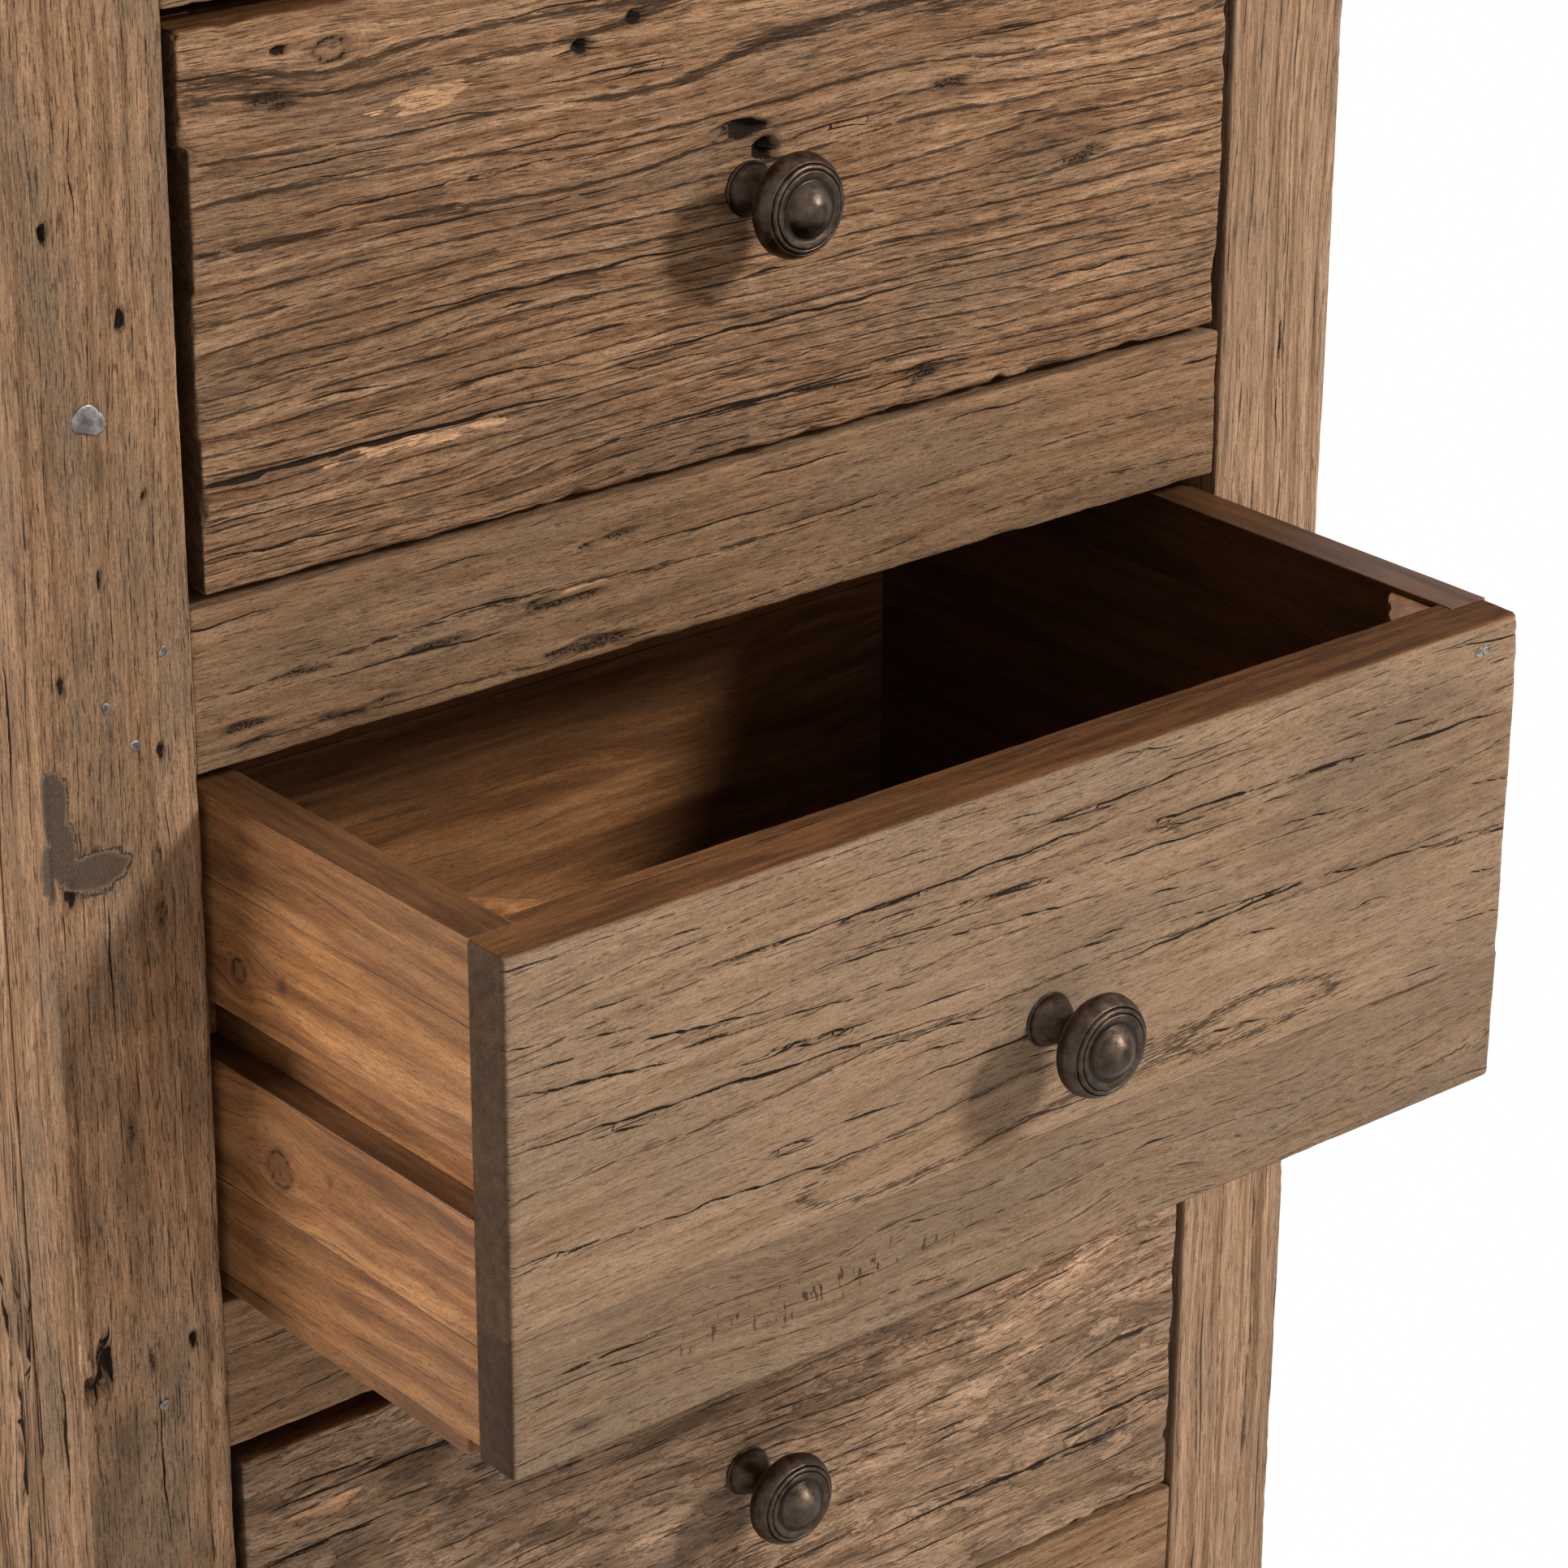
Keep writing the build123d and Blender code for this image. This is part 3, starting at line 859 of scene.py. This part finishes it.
def lathe(name, outline, centre, axis_out, turning, seed, shape=None):
    """A turned piece: an outline of radius and height, spun about an axis, a little uneven."""
    sides, material, rough = turning
    turns = np.arange(sides) * 2 * math.pi / sides
    radius, out = outline[:, 0][:, None], outline[:, 1][:, None]
    local = np.stack([radius * np.cos(turns), radius * np.sin(turns), out + 0 * turns], axis=-1)
    local = local.reshape(-1, 3)
    dents = 0.5 + noise(local + 40 * seed, broad_dent, seed) + 0.6 * noise(local, fine_dent, seed)
    local[:, :2] *= (1 - rough * dents)[:, None]
    if shape:
        local = shape(local)
    basis = Vector(axis_out).to_track_quat("Z", "Y").to_matrix()
    points = local @ np.array(basis).T + np.array(centre)
    ids = np.arange(len(points)).reshape(len(outline), sides)
    after = np.roll(ids, -1, axis=1)
    quads = np.stack([ids[:-1], after[:-1], after[1:], ids[1:]], axis=-1).reshape(-1, 4)
    far, turn = np.meshgrid(np.arange(len(outline) - 1), np.arange(sides), indexing="ij")
    spots = np.stack([turn[..., None] + [0, 1, 1, 0], far[..., None] + [0, 0, 1, 1]], axis=-1)
    spots = spots.reshape(-1, 4, 2).astype(float)
    # grime gathers where the outline turns inwards
    spans = np.diff(outline, axis=0)
    bend = spans[:-1, 0] * spans[1:, 1] - spans[:-1, 1] * spans[1:, 0]
    bend /= np.linalg.norm(spans[:-1], axis=1) * np.linalg.norm(spans[1:], axis=1) + tiny
    hollow = np.clip(np.convolve(np.pad(-bend, 1), grime_blur, "same") * grime_gain, 0, 1)
    wear = np.stack([0 * hollow, 1 - hollow, hollow], axis=1).repeat(sides, axis=0)
    return mesh_object(name, points, quads, spots, {"wear": wear}, material)


def knob(number):
    """A turned bronze knob on a drawer's front."""
    node = f"drawer_{number}_knob"
    low, high = corners(node)
    centre = (low + high) / 2
    centre[Y] = high[Y]
    outline = smooth_outline(knob_outline, per_span=4)
    outline[:, 0] = np.clip(outline[:, 0], 0, None)
    piece = lathe(node + "_bronze", outline, centre, (0, -1, 0), knob_turning, number)
    stand_for(piece, node)


def knob_screw(number):
    """The screw that holds a knob, with its slotted head inside the drawer."""
    node = f"drawer_{number}_knob_screw"
    low, high = corners(node)
    length, head_radius = high[Y] - low[Y], high[X]
    centre = (low + high) / 2
    centre[Y] = low[Y]

    def slotted(points):
        inside = (np.abs(points[:, 0]) < slot_half_width) & (points[:, 2] > length - slot_reach)
        points[inside, 2] -= slot_depth
        return points

    head = [(radius, length + back) for radius, back in screw_head]
    outline = smooth_outline(np.array([*screw_shank, *head]), per_span=3)
    outline[:, 0] = np.clip(outline[:, 0], 0, head_radius)
    piece = lathe(node + "_steel", outline, centre, (0, 1, 0), screw_turning, number, slotted)
    stand_for(piece, node)


def nail(name, body, place, radius, seed):
    """An old nail's head, hammered out of round, a little proud of the wood."""

    def hammered(points):
        angle = np.arctan2(points[:, 1], points[:, 0])
        points[:, :2] *= (1 + 0.14 * np.cos(2 * angle + seed) + 0.10 * np.cos(3 * angle + 2 * seed))[:, None]
        points[:, 2] += 0.05 * points[:, 0]
        return points

    outline = smooth_outline(nail_outline * (radius, 1), per_span=3)
    piece = lathe(name, outline, place, (0, -1, 0), nail_turning, seed, hammered)
    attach(piece, body)


# Frame of the chest

left_stile_low, left_stile_high = corners("left_front_stile")
right_stile_low, right_stile_high = corners("right_front_stile")
right_post_low = corners("right_rear_post")[0]
between_stiles = {X: (left_stile_high[X], right_stile_low[X])}
between_posts = {X: (-right_post_low[X], right_post_low[X])}
behind_stile = {Y: (right_stile_high[Y], right_post_low[Y])}

# Steps of a board's grid along and across the fibres and through the board
fine, middling, coarse = (2.5, 0.8, 1.2), (3.0, 1.0, 1.5), (4.0, 1.8, 3.0)
# how far two boards of one piece reach into each other
board_overlap = 1.0

# Marks on the nodes: kind, middle along and across the fibres, half length and width, depth or strength,
# slope and side. The marks that make the wood lighter are painted light: low on the left stile, where the
# open drawer casts its shadow, on the right of drawer 2's front and on drawer 4's front below the open
# drawer.
# The broad darkening across the middle of drawer 4's front is a painted shadow of the open drawer above it.
# The broad darkening marks on the left of drawer 2's front and on the right and foot of drawer 3's front make
# those parts darker. On the left stile, painted light and grey wear come first, then filled hollows at its
# corner, a broken place with knots near it, and a block let into its left face.
marks_on = read_marks("""\
left_front_stile
bright 530 -202 130 40 0.58
grey 880 -215 180 11 0.9
grey 560 -212 120 14 0.5
grey 440 -205 90 22 0.8
hole 824 -216 2.4 1.5 2.5
hole 798.6 -196 2.6 1.6 2.5
hole 684 -191 1.6 1.8 2
hole 752 -192 1.2 0.9 1.5
hole 734 -206 1.8 0.8 1
hole 709 -219 1.8 1.4 1.2
stain 694 -220.7 5 2 0.7
stain 763 -205 9 4 0.5
stain 580 -205.6 9 3.4 0.8
stain 770 -219 12 4 0.35
stain 716 -214 14 4 0.35
putty 677.5 -223 9.5 5 0.3
putty 677.5 -75 9 2.5 0.3 0 left
putty 660 -74.5 8 4.5 0.3 0 left
putty 664.5 -221 8.5 4.3 0.3
putty 657 -211.5 6.4 11.5 0.3
hole 653 -219.6 3.4 1.6 1.4
hole 663.6 -215 1.6 0.9 1.2
stain 655 -219 7 3.5 0.5
stain 666 -214 14 12 0.2
gouge 517 -217.5 8 2.4 2.6
gouge 510.5 -221.5 2.4 4 2.4
crack 519 -216 9 0.7 1.6
crack 512 -219 7 0.6 1.6 0.3
gouge 511.5 -202.6 4 1.4 1.6
hole 514 -190 1.8 1.6 1.5
stain 494 -214 16 10 0.5
stain 500 -197 30 8 0.3
stain 478 -212 6 4 0.6
stain 600 -192 8 2.5 0.4
knot 656 -193.7 3.4 1.6 0.3
knot 640.4 -193.3 3.2 1.7 0.3
crack 630 -209 14 0.22 0.8
crack 480 -201 26 0.25 0.8
crack 496 -64 27 0.5 1 0 left
crack 494 -51.6 25 0.45 1 0 left
grey 496 -58 25 6 0.7 0 left
stain 496 -58 25 6 0.12 0 left
stain 697 -61.5 26 3.5 0.45 0 left
crack 694 -58 24 0.4 0.8 0 left
left_side_panel
stain 518 -42.5 16 8 0.45
gouge 525 -44 12 3 1
crack 516 -36 20 0.8 1.6 0.1
crack 512 -48 16 0.7 1.6 -0.15
crack 468 -41 34 0.9 1.8
drawer_rail_2
gouge -62 694 15 2.2 1.4
gouge -72 693 4 2.4 1.8
gouge -47 707.5 9 1.6 1.2
gouge -54 707 2.5 1.8 1.6
gouge -55 678 13 2.4 1.4
gouge -100 691 20 1 0.9
gouge -140 679 30 1.6 1.2
gouge -150 694 12 1 0.9
gouge -165 683 10 2 1
crack -87 698 20 0.4 1.2
crack -110 690 30 0.4 1.2 -0.03
crack 18 713 20 0.35 0.9
crack 90 714 18 0.35 0.9
crack -10 703 30 0.35 0.9
chip -58 695.6 10 0.8 0.6
stain -150 700 40 16 0.25
stain -40 686 50 6 0.25
drawer_2_front
stain -150 800 70 70 0.22
bright 130 800 70 70 0.14
chip -105 838 14 3 1.2
chip -108 749 30 1.6 1
crack -120 751 60 0.8 2.2
crack -160 750.5 18 1.2 2.5
knot -132 855 7 4.5 0.8
gouge -150 846 8 4 0.6
hole -147 857 2.2 1.4 3
hole -55 843 2.8 2.4 4
hole -38 848 2.6 2.2 3
hole 0 812 6.5 3 3.5
hole 6 805 4.6 3.2 6
gouge -6 813 5 2 2
crack 10 757 60 0.5 1.6
crack 0 736 45 0.45 1.4
gouge 66 731 9 2.6 1
crack -60 783 60 0.4 1.2
gouge 122 782 10 3 1
gouge 72 812 9 2 0.9
stain 110 785 50 14 0.35
stain -80 730 80 10 0.3
drawer_3_front
crack -105 612.5 78 0.45 1.5 -0.045
crack -35 648 60 0.42 1.4 0.02
crack 70 643 46 0.5 1.5 -0.02
crack 60 608 40 0.4 1.2 0.05
crack 135 641 40 0.45 1.3 -0.03
crack -150 628 26 0.4 1.2 -0.12
crack -120 632 30 0.35 1.2 -0.1
crack -100 581 60 0.3 1 -0.03
crack 120 608 60 0.3 1 -0.06
crack 30 655 50 0.3 1 0.02
stain -20 585 25 8 0.25
stain 130 640 70 45 0.3
stain -110 550 80 26 0.2
ripple -85 545 85 9 1
gouge -150 533 8 1.6 0.8
gouge -40 528 14 1.2 0.6
drawer_4_front
bright 110 430 70 50 0.36
bright -150 420 40 50 0.14
crack 108 355 62 0.6 1.6
crack 150 363 28 0.5 1.2
crack -130 452 40 0.5 1.4
crack -150 436 24 0.45 1.2
stain -60 420 100 40 0.36
chip -148 446 16 2.2 0.9
chip -120 428 12 1.6 0.8
gouge -160 425 10 2 1
gouge -168 408 6 3 1.2
drawer_3_left_side
knot -100 571 5.5 6 0.3
knot -85 623 3.6 4 0.3
stain -123.4 577 2.6 3.6 0.75
stain -105 626 2.6 3.4 0.75
""")


def worked(node, along, face, material, spans=None, **worn):
    """A node as one worn board, with its hidden tenons or tongues left out."""
    board = board_in(node, spans or {}, along, face, marks=marks_on.get(node, []), **worn)
    wooden(node, [board], woods[material])


def frame_pieces():
    """Stiles, rails, panels, posts, the back and the top."""
    worked("left_front_stile", Z, FRONT, "post", step=fine, rounding=1.5, grey=0.55, warp=2.0, pith=(60, 30),
           cracks=10, seed=3, ragged=0.7)
    worked("right_front_stile", Z, FRONT, "pale_post", step=middling, rounding=1.5, grey=0.2, ridge=0.14,
           pith=(30, 60), cracks=10, seed=4, ragged=0.7)
    names = ("bottom_rail", "drawer_rail_4", "drawer_rail_3", "drawer_rail_2", "drawer_rail_1", "top_rail")
    for index, name in enumerate(names):
        step = fine if name in ("drawer_rail_2", "drawer_rail_3") else middling
        worked(name, X, FRONT, "rail", between_stiles, step=step, rounding=1.3, cracks=5,
               value=0.02 * (index % 3) - 0.02, pith=(20, 70), seed=20 + index)
    for side, face in side_faces.items():
        worked(f"{side}_side_panel", Z, face, "panel", behind_stile, step=(4.8, 1.5, 3.5), ridge=0.3,
               cracks=40, pith=(70, 60), warp=6.0, seed=31 + face[1])
        rear_post(side)
    worked("top_board", X, TOP, "smooth", step=(3.5, 1.3, 2.0), rounding=2.6, ridge=0.16, cracks=30,
           pith=(90, 60), warp=6.0, seed=40)
    worked("back_panel", Z, REAR, "inner", step=(6.0, 2.5, 3.0), rounding=0.5, ridge=0.08, seed=41,
           pith=(30, 80))
    for index, name in enumerate(("rear_top_rail", "rear_bottom_rail")):
        worked(name, X, REAR, "inner", between_posts, step=coarse, rounding=0.8, seed=42 + index)


def rear_post(side):
    """A rear post with the step that the back panel lies in."""
    node = f"{side}_rear_post"
    low, high = corners(node)
    panel_low, panel_high = corners("back_panel")
    beside_panel = (low[X], panel_low[X]) if side == "left" else (panel_high[X], high[X])
    inner = {Y: (low[Y], panel_low[Y])}
    outer = {X: beside_panel, Y: (panel_low[Y] - board_overlap, high[Y])}
    face = side_faces[side]
    boards = [
        board_in(node, spans, Z, face, cracks=cracks, step=coarse, rounding=0.9, ridge=0.15,
                 seed=50 + face[1])
        for spans, cracks in ((inner, 6), (outer, 0))
    ]
    wooden(node, boards, woods["post"])


def runners(side):
    """The wooden runners of one side: each lies behind the stile, with a nose that reaches past it."""
    node = f"{side}_runners"
    low, high = corners(node)
    stile_back = left_stile_high[Y]
    beside_stile = (left_stile_high[X], high[X]) if side == "left" else (low[X], right_stile_low[X])
    last = drawer_numbers[-1]
    lowest = corners(f"drawer_{last}_{side}_side")[0][Z]
    thickness = high[Z] - low[Z] - (corners(f"drawer_1_{side}_side")[0][Z] - lowest)
    boards = []
    for number in drawer_numbers:
        base = low[Z] + corners(f"drawer_{number}_{side}_side")[0][Z] - lowest
        run = {Y: (stile_back, high[Y])}
        nose = {X: beside_stile, Y: (low[Y], stile_back + board_overlap)}
        for spans in (run, nose):
            spans[Z] = (base, base + thickness)
            boards.append(board_in(node, spans, Y, TOP, step=(8, 4, 4), rounding=0.5, ridge=0.05,
                                   seed=60 + number))
    wooden(node, boards, woods["inner"])


# Drawers

finest = (2.2, 0.82, 1.8)
front_looks = {
    1: dict(material="ridged", step=middling, ridge=0.3, pith=(60, 120), cracks=26, warp=4.0),
    2: dict(material="ridged", step=finest, ridge=0.34, pith=(60, 120), cracks=60, crack_length=15.0,
            warp=4.0, ragged=1.4),
    3: dict(material="smooth", step=finest, ridge=0.06, pith=(-40, 90), cracks=64, ragged=0.35, rounding=2.2,
            grey=0.45, crack_length=13.0, tilt=-0.05),
    4: dict(material="mottled", step=finest, ridge=0.2, pith=(-60, 90), cracks=44, crack_length=16.0,
            warp=7.0),
    5: dict(material="mottled", step=middling, ridge=0.22, pith=(60, 100), cracks=26, warp=6.0),
}
front_rounding = 2.4
# the height of the darker board at the foot of a front that has one, and how that board differs
seam_heights = {3: 40.0}
lower_look = dict(value=-0.14, pith=(20, 14), warp=9.0, cracks=6, tilt=0.0)
# a broken left end: below each height, the end is shifted
end_breaks = {2: ((838.0, 2.3), (801.0, -0.9), (764.0, 0.8), (742.0, -0.7))}
break_reach, break_fade, break_sway = 30.0, 26.0, 5.0
end_shade = -0.62
front_varnish = {TOP: 1.0, UNDER: 0.8, LEFT: 0.55, RIGHT: 0.55}
# The inner part of a front is varnished dark on its top, underside and rear face; on the rear face, inside
# the drawer, the dark layer is also painted shade.
inner_varnish = {TOP: 1.0, UNDER: 0.8, REAR: 0.9}


def marks_within(node, low, high):
    """The marks of a drawer's node whose middle is between two heights."""
    return [mark for mark in marks_on.get(node, []) if low < mark.across < high]


def broken_end(number, left_end):
    """A shape whose left end is broken off in steps along the fibres, for a front that has such steps."""
    def shape(points):
        points = points.copy()
        weight = step_up(left_end + break_reach - points[:, X], 0, break_fade)
        sway = noise(points * (0, 1, 1), (1, break_sway, break_sway), number)
        for height, shift in end_breaks[number]:
            points[:, X] += shift * weight * step_up(height + sway - points[:, Z], 0, 0.8)
        return points

    return shape if number in end_breaks else None


def drawer_front(number):
    """A drawer's front: its full width in one board or two, and a narrower part between the sides."""
    node = f"drawer_{number}_front"
    low, high = corners(node)
    side_low = corners(f"drawer_{number}_right_side")[0]
    look = {"rounding": front_rounding, **front_looks[number]}
    material = woods[look.pop("material")]
    seam = low[Z] + seam_heights.get(number, 0.0)
    shared = dict(shades={LEFT: end_shade, RIGHT: end_shade}, varnish=front_varnish,
                  shape=broken_end(number, low[X]))
    boards = []
    for part, span in enumerate(((seam, high[Z]), (low[Z], seam))):
        if span[0] == span[1]:
            continue
        sharp = (REAR,) if seam == low[Z] else (REAR, TOP if part else UNDER)
        own_look = {**look, **lower_look} if part else look
        boards.append(board_in(node, {Y: (low[Y], side_low[Y]), Z: span}, X, FRONT, sharp=sharp,
                               marks=marks_within(node, *span), seed=70 + number + 7 * part,
                               **shared, **own_look))
    inner = {X: (-side_low[X], side_low[X]), Y: (side_low[Y], high[Y])}
    boards.append(board_in(node, inner, X, REAR, step=(4.0, 2.0, 3.0), rounding=0.4, ridge=0.05,
                           seed=80 + number, varnish=inner_varnish, sharp=(FRONT,)))
    wooden(node, boards, material)


# The glued staves of a drawer's side: their seams below its top edge, and each one's pith and shade.
# The runner's groove is in the third stave, which is thinner by the groove's depth.
stave_seams = (24.0, 60.0, 76.5, 112.0)
stave_piths = ((30, 50), (-20, 30), (10, 40), (40, 20), (-50, 30))
stave_values = (-0.16, 0.10, 0.04, 0.0, -0.04)
groove_stave, groove_depth = 2, 9.0
marked_step, plain_step = (1.8, 1.2, 3.0), (5.0, 2.2, 3.5)


def drawer_side(number, side):
    """A drawer's side of glued staves, one of them thinner where the runner's groove is."""
    node = f"drawer_{number}_{side}_side"
    low, high = corners(node)
    face = side_faces[side]
    beside_groove = (low[X] + groove_depth, high[X]) if side == "left" else (low[X], high[X] - groove_depth)
    drops = (0.0, *stave_seams, high[Z] - low[Z])
    first_seed = 100 + number * 10 + (5 if side == "right" else 0)
    boards = []
    # Each stave is varnished dark on its top edge and on its inner face; on the inner face, inside the
    # drawer, this also paints shade.
    for index, (top, bottom) in enumerate(zip(drops, drops[1:])):
        span = (high[Z] - bottom, high[Z] - top)
        groove = {X: beside_groove} if index == groove_stave else {}
        marks = marks_within(node, *span)
        boards.append(board_in(
            node, {Z: span, **groove}, Y, face, step=marked_step if marks else plain_step,
            rounding=0.4, ragged=0.5, ridge=0.02, wave=0.05, warp=5.0, edge_light=0.4,
            pith=stave_piths[index], value=stave_values[index], marks=marks,
            varnish={TOP: 0.95, (X, -face[1]): 0.95}, seed=first_seed + index,
        ))
    wooden(node, boards, woods["drawer"])


back_seams = (0.0, 0.55, 1.0)
bottom_seams = (0.0, 1 / 3, 2 / 3, 1.0)


def glued(node, axis, seams, along, face, seed, **look):
    """A drawer's node as boards glued edge to edge, with its seams given as shares of its width or height."""
    low, high = corners(node)
    places = low[axis] + np.array(seams) * (high - low)[axis]
    boards = [
        board_in(node, {axis: span}, along, face, seed=seed + index, **look)
        for index, span in enumerate(zip(places, places[1:]))
    ]
    wooden(node, boards, woods["drawer"])


def drawer_back(number):
    """A drawer's back of two glued boards."""
    glued(f"drawer_{number}_back", Z, back_seams, X, FRONT, 160 + number * 2, step=(5.0, 2.0, 3.5),
          rounding=0.45, ridge=0.03, wave=0.05, warp=5.0, pith=(30, 40), varnish={FRONT: 0.2, TOP: 0.95})


def drawer_bottom(number):
    """A drawer's thin bottom of wide glued boards."""
    # varnished dark on its top and its side edges, which also paints the shade inside the drawer and under
    # its sides
    glued(f"drawer_{number}_bottom", X, bottom_seams, Y, TOP, 180 + number * 3, step=(6.0, 3.2, 2.0),
          rounding=0.4, ridge=0.02, wave=0.04, warp=5.0, pith=(20, 40),
          varnish={TOP: 0.9, LEFT: 0.5, RIGHT: 0.5})


block_pull = 0.56


def corner_blocks(number):
    """The two three-cornered glue blocks of a drawer, a little hollow on their long side."""
    node = f"drawer_{number}_corner_blocks"
    low, high = corners(node)
    leg = high[Y] - low[Y]

    def three_cornered(corner):
        def shape(points):
            points = points.copy()
            u, v = (points[:, X] - corner) / leg, (points[:, Y] - low[Y]) / leg
            pull = 1 - block_pull * np.abs(u) * v
            points[:, X] = corner + u * leg * pull
            points[:, Y] = low[Y] + v * leg * pull
            return points

        return shape

    boards = []
    for sign, corner, span in ((-1, low[X], (low[X], low[X] + leg)), (1, high[X], (high[X] - leg, high[X]))):
        boards.append(board_in(
            node, {X: span}, Z, REAR, step=(4.0, 1.5, 1.5), rounding=0.5, ridge=0.03, wave=0.05, value=-0.2,
            seed=200 + number * 2 + sign, shape=three_cornered(corner),
        ))
    wooden(node, boards, woods["drawer"])


def drawer_pieces(number):
    """Everything of one drawer."""
    drawer_front(number)
    for side in side_faces:
        drawer_side(number, side)
    drawer_back(number)
    drawer_bottom(number)
    corner_blocks(number)
    knob(number)
    knob_screw(number)


# Nails: the places along X and Z of their heads, and the heads' radii
stile_nails = (
    (-206.7, 775.5, 4.3), (-198.4, 687.9, 1.5), (-206.2, 700.0, 1.4), (-189.0, 711.0, 1.3),
    (-200.3, 498.0, 1.5),
)
front_pins = ((160.5, 661.0, 1.4), (163.5, 661.0, 1.4))


def nails():
    """The nails and pins that show in the left stile and in the open drawer's front."""
    stile_face, front_face = left_stile_low[Y], corners("drawer_3_front")[0][Y]
    for index, (x, z, radius) in enumerate(stile_nails, 1):
        nail(f"stile_nail_{index}", "carcass", (x, stile_face, z), radius, index)
    for index, (x, z, radius) in enumerate(front_pins, 1):
        nail(f"drawer_3_nail_{index}", "drawer_3", (x, front_face, z), radius, 10 + index)


frame_pieces()
nails()
for side in side_faces:
    runners(side)
for number in drawer_numbers:
    drawer_pieces(number)


# Floor, lamps, surroundings and camera

def plain_ray(nodes):
    """1 for what is seen directly, in a reflection or through glass, 0 for light that falls on things."""
    path = nodes.add("LightPath").node.outputs
    return nodes.most(nodes.most(path["Is Camera Ray"], path["Is Glossy Ray"]), path["Is Transmission Ray"])


def floor():
    """A pale floor that keeps the chest's shadow and turns white further away."""
    material, shader, nodes = new_material("floor")
    nodes.fill(shader, {"Base Color": floor_colour, "Roughness": 0.9})
    place = nodes.add("NewGeometry", output="Position")
    middle = ((cad_box[0] + cad_box[1]) / 2).to_2d().to_3d()
    away = nodes.add("VectorMath", {0: place, 1: tuple(middle)}, "Value", operation="DISTANCE")
    white = nodes.times(nodes.between(away, floor_near, floor_far), plain_ray(nodes))
    glow = nodes.add("Emission", {"Color": (1, 1, 1, 1), "Strength": 1.0})
    surface = nodes.add("MixShader", {0: white, 1: shader.outputs[0], 2: glow})
    nodes.fill(nodes.tree.nodes["Material Output"], {"Surface": surface})
    mesh = bpy.data.meshes.new("floor")
    ring = [(x * floor_half_size, y * floor_half_size, 0) for x, y in ((-1, -1), (1, -1), (1, 1), (-1, 1))]
    mesh.from_pydata(ring, [], [(0, 1, 2, 3)])
    mesh.materials.append(material)
    new_object("floor", mesh)


def lamp(name, direction, distance, size, power):
    """A square soft lamp that looks at the chest."""
    light = bpy.data.lights.new(name, "AREA")
    light.size = size
    light.energy = power
    holder = new_object(name, light)
    away = Vector(direction).normalized()
    holder.location = Vector(lamp_target) + away * distance
    holder.rotation_euler = away.to_track_quat("Z", "Y").to_euler()


def surroundings():
    """White where it is seen, and a soft even light on the chest."""
    world = bpy.data.worlds.new("surroundings")
    world.use_nodes = True
    nodes = Nodes(world.node_tree)
    soft, seen = (
        nodes.add("Background", {"Color": (1, 1, 1, 1), "Strength": strength})
        for strength in (ambient_light, 1.0)
    )
    surface = nodes.add("MixShader", {0: plain_ray(nodes), 1: soft, 2: seen})
    nodes.fill(world.node_tree.nodes["World Output"], {"Surface": surface})
    bpy.context.scene.world = world


def camera():
    """The camera at the photograph's place and angle."""
    data = bpy.data.cameras.new("camera")
    data.lens, data.sensor_width = camera_lens, camera_sensor
    holder = new_object("camera", data)
    placed = Matrix.Translation(Vector(camera_place) * MM)
    for angle, axis in ((-camera_yaw, "Z"), (90 - camera_pitch, "X"), (camera_roll, "Z")):
        placed = placed @ Matrix.Rotation(math.radians(angle), 4, axis)
    holder.matrix_world = placed
    bpy.context.scene.camera = holder


floor()
for name, settings in lamps.items():
    lamp(name, *settings)
surroundings()
camera()
bpy.context.scene.view_settings.view_transform = "Standard"
